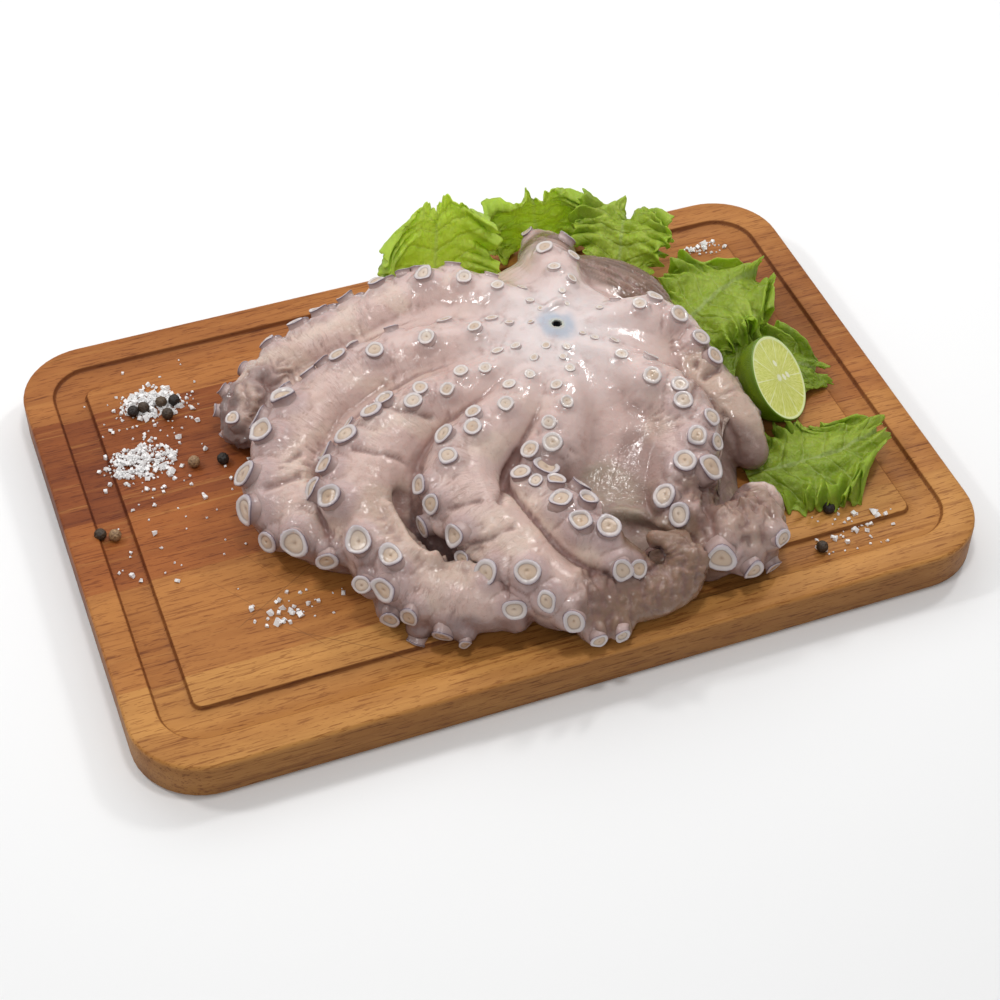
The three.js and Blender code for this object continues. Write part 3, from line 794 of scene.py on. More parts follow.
def flesh_colours(points, normals, away, hollow, crease_shade, near, broad):
    """The colour of the skin at each vertex before its fine pattern."""
    cream = np.array([noise.noise(Vector(point) / 19 + Vector((5, 1, 7))) for point in points])
    outer = smoothstep(away, 60, 110)
    low = smoothstep(-points[:, 2], -BOARD_TOP - 26, -BOARD_TOP - 6)
    washes = [
        (smoothstep(away, 12, 70), "inner arm"),
        (smoothstep(away, 85, 150) * 0.8, "outer arm"),
        (broad * smoothstep(away, 20, 60) * 0.6, "rose"),
        (smoothstep(cream, 0.0, 0.35) * smoothstep(away, 40, 80) * 0.5, "cream"),
        # Painted light on the ridges and painted shade in the hollows.
        (smoothstep(-hollow, 0.2, 1.6) * 0.4, "ridge"),
        (smoothstep(hollow, 0.3, 2.6) * 0.85, "hollow"),
        (near * 0.5, "round a sucker"),
        # Painted shade: the skin low down near the board is darker.
        (low * outer * 0.8, "painted shade near the board"),
        # Painted shade where the skin faces down.
        (smoothstep(-normals[:, 2], -0.1, 0.5) * outer * 0.6, "painted shade facing down"),
    ]
    spread = 1 + (broad - 0.5) * 0.7
    for colour, *patches in TINTS.values():
        for radius, strength, path in patches:
            gap = distance_to_path(points, path) * spread / radius
            washes.append((strength * smoothstep(-gap, -1.15, -0.6), colour))
    streak = mantle_streaks(points)
    washes += [(streak * 0.75, "dark streak"), (-streak * 0.5, "pale streak")]
    # Painted shade along the creases, and more faintly along the raised lips.
    for height, width, path in FOLDS:
        line = smoothstep(-distance_to_path(points, path) / width, -1.0, -0.2)
        washes.append((line * (0.5 if height < 0 else 0.2), "fold_shade"))
    level = from_mouth(points) * spread
    washes += [
        # Painted shade in the creases and the seams between arms.
        (crease_shade, "crease_shade"),
        (smoothstep(-level, -13, -7) * 0.8, "halo"),
        (smoothstep(-level, -5.5, -3.0) * 0.8, "lip"),
    ]
    colours = np.tile(np.array(FLESH["round the mouth"]), (len(points), 1))
    for share, colour in washes:
        share = np.clip(share, 0, 1)[:, None]
        colours = colours * (1 - share) + np.array(FLESH.get(colour, colour)) * share
    return colours


def from_mouth(points):
    """How far each point is from the mouth, seen from above."""
    return np.hypot(points[:, 0] - MOUTH.x, points[:, 1] - MOUTH.y)


def crumples(points):
    """How crumpled the skin is at each point, from 0 to 1."""
    crumple = np.zeros(len(points))
    for radius, path in CRUMPLES:
        near = smoothstep(-distance_to_path(points, path) / radius, -1.2, -0.6)
        crumple = np.maximum(crumple, near)
    return crumple


def crumple_height(place, distance, turn):
    """The height of crumpled skin, whose folds run along the arm."""
    sway = distance + noise.noise(place / 9) * 9
    across = Vector((sway, math.cos(turn) * 7, math.sin(turn) * 7))
    return abs(noise.noise(across / 6)) * 3.8 + abs(noise.noise(place / 10)) * 3.0 - 1.7


def relief(points, away, along, around, seams, stalks):
    """How far out of the smooth body the skin stands at each point."""
    lifts = stalks.copy()
    for height, width, path in FOLDS:
        fall = np.exp(-((distance_to_path(points, path) / width) ** 2))
        lifts += height * FOLD_GAIN * fall
    lifts -= mantle_streaks(points) * STREAK_DEPTH
    lifts -= seams * SEAM_DEPTH
    crumple = crumples(points)
    for index, point in enumerate(points):
        place = Vector(point)
        calm = min(1.0, max(0.0, (away[index] - 14) / 70))
        lump = noise.noise(place / 14) * 0.5
        lifts[index] += calm * (lump + wrinkle(place, along[index], around[index]))
        lifts[index] += noise.noise(place / 4.5) * 0.22
        if crumple[index] > 0:
            lifts[index] += crumple_height(place, along[index], around[index]) * crumple[index]
    pit = smoothstep(-from_mouth(points), -MOUTH_PIT["rim"], -MOUTH_PIT["wall"])
    return lifts - MOUTH_PIT["depth"] * pit


def places_and_normals(shape):
    return np.array([v.co for v in shape.verts]), np.array([v.normal for v in shape.verts])


def skin_shape():
    shape = joined_body()
    settle(shape)
    cut_flat(shape)
    shape.normal_update()
    spots = sucker_spots(shape)
    points, normals = places_and_normals(shape)
    edges = np.array([[v.index for v in edge.verts] for edge in shape.edges])
    along, around, seams = nearest_arms(points)
    away = np.linalg.norm(points - np.array(MOUTH), axis=1)
    # How hollow the skin is, which sets the painted light on ridges and the painted shade in
    # hollows.
    hollow = ((blurred(points, edges, HOLLOW_ROUNDS) - points) * normals).sum(axis=1)
    stalks, near = sucker_surroundings(points, spots)
    seams *= smoothstep(away, 50, 90)
    lifts = relief(points, away, along, around, seams, stalks)
    free = smoothstep(points[:, 2], BOARD_TOP + 0.5, BOARD_TOP + 4)
    for vertex, place in zip(shape.verts, points + normals * (lifts * free)[:, None]):
        vertex.co = place
        vertex.co.z = max(vertex.co.z, BOARD_TOP + GAP)
    shape.normal_update()
    points, normals = places_and_normals(shape)
    # Painted shade: the skin is darkened in narrow creases and in the seams between arms.
    crease_shade = ((blurred(points, edges, CREASE_ROUNDS) - points) * normals).sum(axis=1)
    broad = np.array([noise.noise(Vector(point) / 11) for point in points]) * 0.5 + 0.5
    crease_shade = smoothstep(crease_shade, 0.04, 0.35) * 0.6 + seams * 0.4
    colours = flesh_colours(points, normals, away, hollow, crease_shade, near, broad)
    layer = shape.verts.layers.float_color.new("flesh")
    for vertex, colour in zip(shape.verts, colours):
        vertex[layer] = (*colour, 1)
    set_attribute(shape, "along", along / 100)
    set_attribute(shape, "over", np.cos(around))
    set_attribute(shape, "beside", np.sin(around))
    set_attribute(shape, "rough", smoothstep(away, 40, 120))
    return shape, spots


# ---------------------------------------------------------------- octopus: suckers

# Distance along the arm, degrees from the middle of its sucker side, and diameter.
SUCKERS = {
    "back": (
        (4, 40, 3.2), (12, 13, 4.2), (22, 34, 6.4), (28, -9, 7.5), (43, 41, 8.2), (48, -11, 10.3),
        (68, 36, 10.5), (93, -36, 9.1),
    ),
    "back left": (
        (1, 16, 3.7), (9, 12, 4.8), (19, 47, 5.9), (27, -2, 7.4), (38, 37, 8.1), (47, -15, 9.1),
        (60, 28, 9.2), (69, -19, 11.3), (74, 26, 9.5), (81, 7, 9.8), (90, 22, 10),
        (95, -13, 10.9), (106, 28, 10), (113, -8, 10.8), (122, 14, 10.5), (130, -26, 10.8),
        (138, 8, 10.5), (144, -30, 9.7), (154, 6, 10), (160, -28, 10.7), (170, 24, 10),
        (173, 0, 9.7), (186, 10, 9), (192, -25, 8.5), (198, -8, 7.9), (207, -156, 7.5),
        (207, -76, 8.5),
    ),
    "left back": (
        (0, 26, 3.7), (11, 15, 5.2), (20, 38, 7.4), (28, -2, 7.8), (44, 47, 9.0), (52, -19, 9.9),
        (70, 22, 9.5), (82, -34, 10.4), (89, 10, 9.6), (99, -16, 10.5), (106, -2, 9.6),
        (114, -2, 10.7), (126, 10, 14.0), (136, -32, 14.5), (145, -8, 14.7), (158, -41, 16.4),
        (177, -24, 16.2), (187, 1, 16.6), (198, 34, 12.0), (209, 14, 15.4), (223, 30, 11.9),
    ),
    "left": (
        (9, 13, 5.7), (18, 28, 6.7), (30, -8, 7.2), (41, 11, 8.7), (51, -25, 8.2), (64, -11, 9.2),
        (73, -30, 10.2), (81, -3, 10.2), (91, -14, 12.2), (97, 16, 9.3), (107, -13, 13.1),
        (113, 16, 13.3), (124, -4, 12.0), (132, 15, 13.0), (137, -4, 13.9), (162, 14, 14.7),
        (175, 46, 11.7), (179, -7, 13.6), (183, 28, 14.6), (186, 68, 10.7), (194, 48, 12.1),
        (197, 88, 9.8), (207, 66, 11.7), (216, 74, 7.3),
    ),
    "front left": (
        (0, 1, 5.2), (10, 18, 4.6), (23, -1, 6.1), (34, 22, 7.1), (45, -9, 8.6), (60, 5, 9.6),
        (68, -20, 10.0), (77, 4, 12.0), (90, -16, 10.4), (96, 30, 11.4), (103, 27, 11.3),
        (105, 63, 12.9), (120, 39, 12.7), (128, 67, 9.8), (146, 55, 13.6), (157, 12, 13.0),
        (159, 61, 12.6), (162, 97, 9.7), (168, 15, 12.0), (179, 14, 13.0), (189, 16, 8.7),
        (199, -1, 8.8),
    ),
    "front": (
        (0, -22, 5.2), (7, 4, 4.6), (15, -10, 5.6), (27, 20, 6.6), (35, -7, 7.1), (45, 1, 8.1),
        (56, -41, 10.5), (69, -24, 10.5), (88, 32, 11.0), (91, -2, 14.0), (97, 41, 8.4),
        (103, 29, 10.9), (110, 5, 12.4), (114, 57, 12.3), (122, 20, 11.8), (129, 57, 12.7),
        (139, 38, 12.7), (150, 90, 11.7), (157, 76, 9.8), (159, 91, 5.4),
    ),
    "right front": (
        (2, -41, 3.7), (9, -30, 4.7), (17, -44, 5.7), (26, 6, 7.2), (37, -29, 8.3),
        (43, 29, 10.2), (56, 29, 9.2), (69, 21, 10.7), (79, -29, 10.2), (87, -52, 10.1),
        (88, -25, 11.6), (106, -65, 15.1), (107, -31, 12.5), (122, 0, 12.5), (131, 4, 13.9),
        (142, 46, 13.2), (150, 62, 15.3), (157, 96, 12.9), (165, 124, 10.1), (167, 71, 11.0),
    ),
    "right": (
        (14, -20, 4.2), (24, -38, 6.5), (32, 12, 7.9), (40, -4, 9.0), (51, 33, 10.6),
        (70, 45, 10.6), (84, 60, 10.5), (97, -8, 10.5), (104, -50, 10.5), (113, -10, 10),
        (121, -48, 9),
    ),
}
# Radius and height in diameters from the foot to the middle, and the tint along them.
SUCKER_PROFILE = (
    (0.58, -0.38, 0.0), (0.485, -0.10, 0.12), (0.465, 0.05, 0.25), (0.485, 0.12, 0.36),
    (0.505, 0.175, 0.43), (0.495, 0.218, 0.50), (0.44, 0.246, 0.58), (0.37, 0.238, 0.66),
    (0.315, 0.195, 0.74), (0.275, 0.202, 0.80), (0.18, 0.214, 0.87), (0.07, 0.207, 0.93),
    (0.04, 0.18, 0.98),
)
SUCKER_FOOT = -0.45
SUCKER_MIDDLE = 0.17
SUCKER_SIDES = 18
SUCKER_SEED = 4
SUCKER_TILT = 0.13
SUCKER_CURL = (-0.3, 0.45)
GROWN_FROM = 130


def sucker_template():
    shape = bmesh.new()
    rings = [circle(radius, height, SUCKER_SIDES) for radius, height, _ in SUCKER_PROFILE]
    loft(shape, rings, Vector((0, 0, SUCKER_FOOT)), Vector((0, 0, SUCKER_MIDDLE)))
    tints = {round(height, 4): tint for _, height, tint in SUCKER_PROFILE} | {SUCKER_FOOT: 0.0}
    set_attribute(shape, "tint", [tints.get(round(v.co.z, 4), 1.0) for v in shape.verts])
    return shape


def sucker_spots(skin):
    """The foot, facing and diameter of each sucker, and how far out on its arm it is."""
    tree = BVHTree.FromBMesh(skin)
    spots = []
    for name, rows in SUCKERS.items():
        arm = arms[name]
        for distance, degrees, diameter in rows:
            centre, radius, roll, _, _, _, _ = arm.at(distance)
            out = arm.outwards(distance, roll + degrees)
            hit, normal, _, _ = tree.ray_cast(centre + out * (radius + 9), -out, 26)
            if hit is not None:
                face = (normal * 0.6 + out * 0.4).normalized()
                spots.append((hit, face, diameter, min(1.0, distance / GROWN_FROM)))
    return spots


def sucker_shape(spots):
    template = sucker_template()
    mesh = bpy.data.meshes.new("one sucker")
    template.to_mesh(mesh)
    template.free()
    shape = bmesh.new()
    chance = random.Random(SUCKER_SEED)
    tones, ages = [], []
    for hit, face, diameter, age in spots:
        tilt = Vector([chance.uniform(-SUCKER_TILT, SUCKER_TILT) for _ in range(3)])
        face = (face + tilt).normalized()
        turn = face.to_track_quat("Z", "X").to_matrix().to_4x4()
        spin = Matrix.Rotation(chance.uniform(0, 6.3), 4, "Z")
        squeeze = chance.uniform(1 - 0.25 * age, 1.0)
        tall = diameter * chance.uniform(0.85, 1.1) * (0.5 + 0.5 * age)
        grow = Matrix.Diagonal((diameter, diameter * squeeze, tall, 1))
        before = len(shape.verts)
        shape.from_mesh(mesh)
        shape.verts.ensure_lookup_table()
        fresh = shape.verts[before:]
        curl_x, curl_y = (chance.uniform(*SUCKER_CURL) * age for _ in range(2))
        for vertex in fresh:
            vertex.co.z += curl_x * vertex.co.x**2 + curl_y * vertex.co.y**2
        rise = Matrix.Translation(hit + face * diameter * (0.10 + 0.18 * age))
        bmesh.ops.transform(shape, matrix=rise @ turn @ spin @ grow, verts=fresh)
        shift = Vector([chance.uniform(-50, 50) for _ in range(3)])
        bend = diameter * (0.03 + chance.uniform(0.01, 0.09) * age)
        for vertex in fresh:
            vertex.co += noise.noise_vector(vertex.co / (diameter * 0.55) + shift) * bend
        tones.extend([chance.random()] * len(fresh))
        ages.extend([age] * len(fresh))
    set_attribute(shape, "tone", tones)
    set_attribute(shape, "age", ages)
    bpy.data.meshes.remove(mesh)
    return shape


# ---------------------------------------------------------------- octopus: mouth and strand

MOUTH_PROFILE = (
    (4.6, -1.2), (3.9, -0.1), (3.3, 0.3), (2.8, 0.1), (2.4, -0.8), (2.2, -2.6), (2.0, -4.5),
)
MOUTH_DEEPEST = -6
MOUTH_FOOT = -7
MOUTH_SIDES = 32
MOUTH_OVAL = 0.92
MOUTH_LIP = 2.75
STRAND_STEPS = 30
STRAND_SIDES = 10
STRAND = (
    (112, -53, 34), (107, -60, 35), (102, -68, 34), (98, -76, 30), (95, -84, 23), (93, -88, 17),
)


def mouth_shape(skin):
    tree = BVHTree.FromBMesh(skin)
    hit, normal, _, _ = tree.ray_cast(MOUTH + Vector((4.5, 0, 20)), -UP, 60)
    turn = (normal + UP * 6).normalized().to_track_quat("Z", "X").to_matrix().to_4x4()
    shape = bmesh.new()
    rings = []
    for radius, height in MOUTH_PROFILE:
        ring = []
        for angle in angles_round(MOUTH_SIDES):
            pleat = 1 + 0.06 * math.sin(angle * 7 + radius) + 0.04 * math.sin(angle * 11)
            x = radius * pleat * math.cos(angle)
            ring.append(Vector((x, radius * pleat * MOUTH_OVAL * math.sin(angle), height)))
        rings.append(ring)
    loft(shape, rings, Vector((0, 0, MOUTH_FOOT)), Vector((0, 0, MOUTH_DEEPEST)))
    # Painted shade: inside the lip the mouth opening is coloured almost black.
    inside = [(MOUTH_LIP - v.co.xy.length) / 0.4 for v in shape.verts]
    set_attribute(shape, "depth", [max(0.0, min(1.0, share)) for share in inside])
    place = Matrix.Translation((MOUTH.x, MOUTH.y, hit.z)) @ turn
    bmesh.ops.transform(shape, matrix=place, verts=shape.verts)
    return shape


def strand_shape():
    """A thin drawn-out strip of skin between two arms."""
    shape = bmesh.new()
    rings = []
    for step in range(STRAND_STEPS + 1):
        share = step / STRAND_STEPS
        place = share * (len(STRAND) - 1)
        centre = Vector(on_curve(STRAND, place)) + UP * BOARD_TOP
        ahead = Vector(on_curve(STRAND, place + 0.05)) - Vector(on_curve(STRAND, place - 0.05))
        side = ahead.cross(UP).normalized()
        over = side.cross(ahead).normalized()
        wide = 0.8 + 1.0 * (2 * share - 1) ** 4
        twist = share * 5
        ring = []
        for angle in angles_round(STRAND_SIDES):
            flat = Vector((wide * math.cos(angle), 0.6 * math.sin(angle)))
            flat.rotate(Matrix.Rotation(twist, 2))
            ring.append(centre + side * flat.x + over * flat.y)
        rings.append(ring)
    ends = [Vector(STRAND[i]) + UP * BOARD_TOP for i in (0, -1)]
    loft(shape, rings, *ends)
    return shape


# ---------------------------------------------------------------- octopus: finishes


def skin_finish():
    finish = Finish("octopus skin")
    place = finish.place()
    worn, along, over, beside = finish.attributes("rough", "along", "over", "beside")
    flesh = finish.add("ShaderNodeAttribute", {"attribute_name": "flesh"}).outputs["Color"]
    mottled = finish.noise(place, 110, 5, 0.65)
    sway = along + (finish.noise(place, 70, 2) - 0.5) * 0.06
    across = finish.noise(finish.join(sway * 85, over * 2.5, beside * 2.5), 1, 3, 0.6)
    patches = finish.noise(place, 45, 2).within(0.42, 0.62)
    specks = finish.noise(place, 900, 2, 0.7)
    colour = finish.washed(
        flesh,
        (mottled.within(0.52, 0.75) * 0.42, (0.40, 0.245, 0.21)),
        ((1 - mottled).within(0.55, 0.8) * 0.3, (0.74, 0.62, 0.58)),
        (across.within(0.5, 0.72) * worn * patches * 0.4, (0.27, 0.16, 0.14)),
        (specks.within(0.6, 0.75) * worn * 0.3, (0.2, 0.12, 0.1)),
    )
    creases = finish.noise(place, 380, 2, 0.5, 0.6)
    normal = finish.bump(across * worn * (patches + 0.2), 0.0007, 0.6)
    normal = finish.bump(creases * (worn * 0.6 + 0.4), 0.0008, 0.5, normal)
    return finish.surface(
        Base_Color=colour,
        Roughness=0.15 - worn * 0.06,
        IOR=1.42,
        Subsurface_Weight=0.3,
        Subsurface_Radius=(1.0, 0.42, 0.33),
        Subsurface_Scale=0.004,
        Normal=normal,
    )


# The colours from a sucker's foot over its rim to its middle.
GROWN_SUCKER = (
    (0.0, (0.46, 0.33, 0.30)), (0.22, (0.40, 0.29, 0.27)), (0.38, (0.33, 0.24, 0.235)),
    (0.435, (0.10, 0.07, 0.09)), (0.485, (0.36, 0.30, 0.33)), (0.56, (0.54, 0.48, 0.485)),
    (0.68, (0.58, 0.52, 0.49)), (0.74, (0.36, 0.27, 0.23)), (0.80, (0.56, 0.45, 0.36)),
    (0.90, (0.62, 0.50, 0.40)), (0.96, (0.52, 0.40, 0.32)), (1.0, (0.42, 0.31, 0.23)),
)
YOUNG_SUCKER = (
    (0.0, (0.60, 0.49, 0.47)), (0.30, (0.56, 0.45, 0.43)), (0.42, (0.50, 0.40, 0.385)),
    (0.52, (0.62, 0.56, 0.54)), (0.68, (0.66, 0.60, 0.56)), (0.74, (0.56, 0.47, 0.42)),
    (0.85, (0.65, 0.57, 0.50)), (0.95, (0.56, 0.45, 0.36)), (1.0, (0.42, 0.30, 0.21)),
)


def sucker_finish():
    finish = Finish("sucker cups")
    place = finish.place()
    tint, tone, age = finish.attributes("tint", "tone", "age")
    blotch = finish.noise(place, 260, 3)
    colour = finish.washed(
        finish.ramp(tint, YOUNG_SUCKER),
        (age.within(0.15, 0.75), finish.ramp(tint, GROWN_SUCKER)),
        (tone * tint.within(0.72, 0.8) * 0.65, (0.48, 0.33, 0.22)),
        (blotch.within(0.5, 0.8) * 0.25, (0.36, 0.32, 0.36)),
    )
    return finish.surface(
        Base_Color=colour,
        Roughness=blotch * 0.1 + 0.14,
        Subsurface_Weight=0.25,
        Subsurface_Radius=(0.8, 0.6, 0.5),
        Subsurface_Scale=0.002,
        Normal=finish.bump(finish.noise(place, 700, 3), 0.0004, 0.5),
    )


def mouth_finish():
    finish = Finish("mouth")
    soft = finish.noise(finish.place(), 300, 4)
    greys = ((0.3, (0.36, 0.38, 0.36)), (0.55, (0.46, 0.47, 0.41)), (0.75, (0.55, 0.54, 0.45)))
    ring = finish.ramp(soft, greys)
    # Painted shade: the mouth opening inside the lip is almost black.
    return finish.surface(
        Base_Color=finish.mix(finish.attribute("depth"), ring, (0.004, 0.004, 0.005)),
        Roughness=0.3,
        Subsurface_Weight=0.2,
        Subsurface_Scale=0.002,
        Coat_Weight=0.5,
        Coat_Roughness=0.1,
        Normal=finish.bump(soft, 0.0006, 0.5),
    )


def strand_finish():
    finish = Finish("drawn skin")
    soft = finish.noise(finish.place(), 500, 4)
    colour = finish.ramp(soft, ((0.3, (0.16, 0.10, 0.08)), (0.7, (0.42, 0.32, 0.27))))
    return finish.surface(Base_Color=colour, Roughness=0.2, Normal=finish.bump(soft, 0.0004, 0.6))


def add_octopus():
    skin, spots = skin_shape()
    suckers = sucker_shape(spots)
    mouth = mouth_shape(skin)
    finish_piece(skin, "octopus_skin", skin_finish(), ["octopus"])
    finish_piece(suckers, "octopus_suckers", sucker_finish(), ())
    finish_piece(mouth, "octopus_mouth", mouth_finish(), ())
    finish_piece(strand_shape(), "octopus_strand", strand_finish(), ())


# ---------------------------------------------------------------- board

# Half length, half width, corner radius and height of each loop, from the underside inwards.
BOARD_LOOPS = (
    (220.5, 148.0, 32.5, 0.0), (223.8, 151.3, 35.8, 0.4), (225, 152.5, 37, 1.6),
    (225, 152.5, 37, 21.2), (224.6, 152.1, 36.6, 22.4), (223.6, 151.1, 35.6, 23.0),
    (210.2, 136.2, 23.2, 23.0), (209.3, 135.3, 22.3, 22.7), (209.0, 135.0, 22.0, 21.6),
    (207.6, 133.6, 20.6, 20.3), (193.2, 118.2, 6.6, 20.3), (191.8, 116.8, 5.3, 21.2),
    (191.5, 116.5, 5.0, 22.6), (190.7, 115.7, 4.4, 23.0),
)
CORNER_STEPS = 12


def rounded_loop(half_x, half_y, radius, height):
    loop = []
    for turn, (sign_x, sign_y) in enumerate(((1, -1), (1, 1), (-1, 1), (-1, -1))):
        centre_x = sign_x * (half_x - radius)
        centre_y = sign_y * (half_y - radius)
        for step in range(CORNER_STEPS + 1):
            angle = math.pi / 2 * (turn - 1 + step / CORNER_STEPS)
            x = centre_x + radius * math.cos(angle)
            loop.append(Vector((x, centre_y + radius * math.sin(angle), height)))
    return loop


def board_shape():
    shape = bmesh.new()
    loft(shape, [rounded_loop(*row) for row in BOARD_LOOPS])
    open_edges = [edge for edge in shape.edges if edge.is_boundary]
    bmesh.ops.holes_fill(shape, edges=open_edges, sides=0)
    return shape


# The boards glued side by side: the near edge of each in metres, and its colour.
STRIPS = (
    (-0.153, (0.60, 0.30, 0.088)),
    (-0.096, (0.50, 0.215, 0.058)),
    (-0.030, (0.38, 0.125, 0.030)),
    (0.019, (0.27, 0.075, 0.018)),
    (0.064, (0.29, 0.085, 0.020)),
    (0.097, (0.45, 0.18, 0.050)),
)
# Knife marks: slope, height at the middle, and where they start and end along the board.
CUTS = (
    (-1.9, -0.30, -0.150, -0.128),
    (-2.6, -0.37, -0.138, -0.120),
    (-1.4, -0.27, -0.165, -0.120),
    (0.6, 0.02, -0.16, -0.10),
    (-0.7, -0.18, -0.14, -0.07),
)
CUT_FADE = 0.004
GLUE_LINE = 0.0002
# How far the grain of each board is shifted from its neighbour's.
GRAIN_SHIFT = 3.7


def wood_finish():
    finish = Finish("oiled hardwood")
    x, y, z = finish.parts(finish.place())
    wood = STRIPS[0][1]
    shift = x * 0
    for edge, colour in STRIPS[1:]:
        step = y.within(edge - GLUE_LINE, edge + GLUE_LINE)
        wood = finish.mix(step, wood, colour)
        shift = shift + step * GRAIN_SHIFT
    broad = finish.noise(finish.join(x * 1.2 + shift, y * 9 + shift, z * 9), 7, 5, 0.6, 0.6)
    rings = finish.noise(finish.join(x * 0.7 + shift, y * 30, z * 30), 9, 5, 0.7, 0.4)
    dashes = finish.noise(finish.join(x * 9 + shift, y * 110, z * 110), 8, 2, 0.55)
    specks = finish.noise(finish.join(x * 20, y * 120, z * 120), 8, 2, 0.6)
    inner = (1 - x.size().within(0.2135, 0.2145)) * (1 - y.size().within(0.1395, 0.1405))
    # Painted shade: the walls and bed of the groove are darkened in the colour.
    groove_wall_shade = z.within(0.0204, 0.0210) * (1 - z.within(0.0226, 0.0229)) * inner
    groove_bed_shade = (1 - z.within(0.0204, 0.0208)) * z.within(0.0198, 0.0202) * inner
    # Painted shade: the board's outer sides are darkened in the colour.
    sides = (1 - z.within(0.0195, 0.0222)) * (1 - inner)
    wood = finish.washed(
        wood,
        (x.within(-0.16, 0.22) * 0.35, (0.56, 0.28, 0.085)),
        (broad.within(0.35, 0.65) * 0.55, (0.62, 0.50, 0.42), "MULTIPLY"),
        (rings.within(0.52, 0.68) * 0.75, (0.55, 0.42, 0.33), "MULTIPLY"),
        ((1 - rings).within(0.55, 0.70) * 0.35, (0.58, 0.30, 0.09)),
        (dashes.within(0.58, 0.65) * 0.65, (0.45, 0.30, 0.20), "MULTIPLY"),
        (specks.within(0.60, 0.66) * 0.45, (0.45, 0.30, 0.22), "MULTIPLY"),
        # Painted shade in the groove.
        (groove_wall_shade * 0.75, (0.30, 0.17, 0.10), "MULTIPLY"),
        (groove_bed_shade * 0.3, (0.6, 0.45, 0.35), "MULTIPLY"),
        # Painted shade on the board's sides.
        (sides * 0.7, (0.55, 0.52, 0.52), "MULTIPLY"),
    )
    for slope, offset, start, end in CUTS:
        line = (y - x * slope - offset).size()
        scar = (1 - line.within(0.00015, 0.0004)) * x.within(start, start + CUT_FADE)
        scar = scar * (1 - x.within(end - CUT_FADE, end))
        wood = finish.mix(scar * 0.45, wood, (0.14, 0.06, 0.02))
    wood = finish.mix(1.0, wood, (0.90, 0.84, 0.74), "MULTIPLY")
    normal = finish.bump(rings, 0.0003, 0.35)
    normal = finish.bump(dashes, 0.0002, 0.5, normal)
    return finish.surface(Base_Color=wood, Roughness=0.55, Specular_IOR_Level=0.22, Normal=normal)


# ---------------------------------------------------------------- salt and pepper

GROOVE_OUTER = (209, 135)
GROOVE_INNER = (191.5, 116.5)
GROOVE_DEPTH = 2.6
PEPPERCORNS = (
    (-171, 89), (-165, 90), (-155, 91), (-148, 90), (-154, 81), (-150, 41), (-135, 38), (-208, 9),
    (-201, 6), (150, -104), (136, -125),
)
PEPPER_RADIUS = 3.2
PEPPER_SINK = 0.4
TAN_PEPPERCORNS = (5, 8)
SALT_SEED = 7
SALT_SIZES = (1.6, 4.6)
# Flakes of salt: the middle of each patch, its reach and how many flakes.
SALT_PATCHES = (
    (-160, 92, 20, 14, 12), (-175, 50, 18, 15, 11), (-150, 60, 50, 50, 5), (-128, -72, 18, 10, 5),
    (155, -118, 22, 14, 4), (178, 112, 12, 5, 3),
)
# Finer salt round the flakes: the middle, the reach and how many grains, which heap up where
# there are many.
FINE_SALT_SEED = 11
FINE_SALT_SIZES = (0.8, 3.0)
HEAPED_FROM = 100
FINE_SALT = (
    (-160, 94, 16, 11, 330), (-160, 88, 28, 22, 80), (-176, 53, 19, 12, 330),
    (-172, 48, 28, 24, 50), (-150, 60, 60, 70, 45), (-128, -72, 26, 14, 34),
    (-140, -20, 60, 60, 16), (155, -118, 28, 16, 40), (178, 112, 14, 6, 36),
    (-190, 20, 20, 60, 14),
)


def surface_height(x, y):
    def inside(half):
        return abs(x) < half[0] and abs(y) < half[1]

    in_groove = inside(GROOVE_OUTER) and not inside(GROOVE_INNER)
    return BOARD_TOP - GROOVE_DEPTH if in_groove else BOARD_TOP


def add_flake(shape, place, size, turns):
    """A chipped crystal of salt."""
    made = bmesh.ops.create_cube(shape, size=size * 0.75)["verts"]
    turn_x, turn_y, turn_z = (Matrix.Rotation(turns[i], 4, "XYZ"[i]) for i in range(3))
    for vertex in made:
        vertex.co += noise.noise_vector(vertex.co * (3 / size) + Vector(place)) * size * 0.35
    matrix = Matrix.Translation(place) @ (turn_z @ turn_y @ turn_x)
    bmesh.ops.transform(shape, matrix=matrix, verts=made)


def scattered(patch, angle, reach):
    """The point of the board at an angle from a patch's middle and a share of its reach."""
    middle_x, middle_y, reach_x, reach_y, _ = patch
    x = middle_x + reach * reach_x * math.cos(angle)
    y = middle_y + reach * reach_y * math.sin(angle)
    return x, y, surface_height(x, y)


def salt_shape():
    shape = bmesh.new()
    draw = random_stream(SALT_SEED)
    small, large = SALT_SIZES
    for patch in SALT_PATCHES:
        for _ in range(patch[-1]):
            angle = next(draw) * 2 * math.pi
            x, y, z = scattered(patch, angle, math.sqrt(next(draw)))
            size = small + (large - small) * next(draw) ** 2
            turns = (next(draw), next(draw), 6.3 * next(draw))
            add_flake(shape, (x, y, z + size * 0.15), size, turns)
    chance = random.Random(FINE_SALT_SEED)
    small, large = FINE_SALT_SIZES
    for patch in FINE_SALT:
        for _ in range(patch[-1]):
            angle = chance.uniform(0, 6.283)
            reach = chance.random() ** 0.6
            x, y, z = scattered(patch, angle, reach)
            size = small + (large - small) * chance.random() ** 2
            turns = [chance.uniform(0, 3) for _ in range(3)]
            heap = 0.0
            if patch[-1] > HEAPED_FROM:
                heap = max(0.0, 1 - reach * 1.3) * chance.random() * 3.0
            add_flake(shape, (x, y, z + size * 0.25 + heap), size, turns)
    return shape


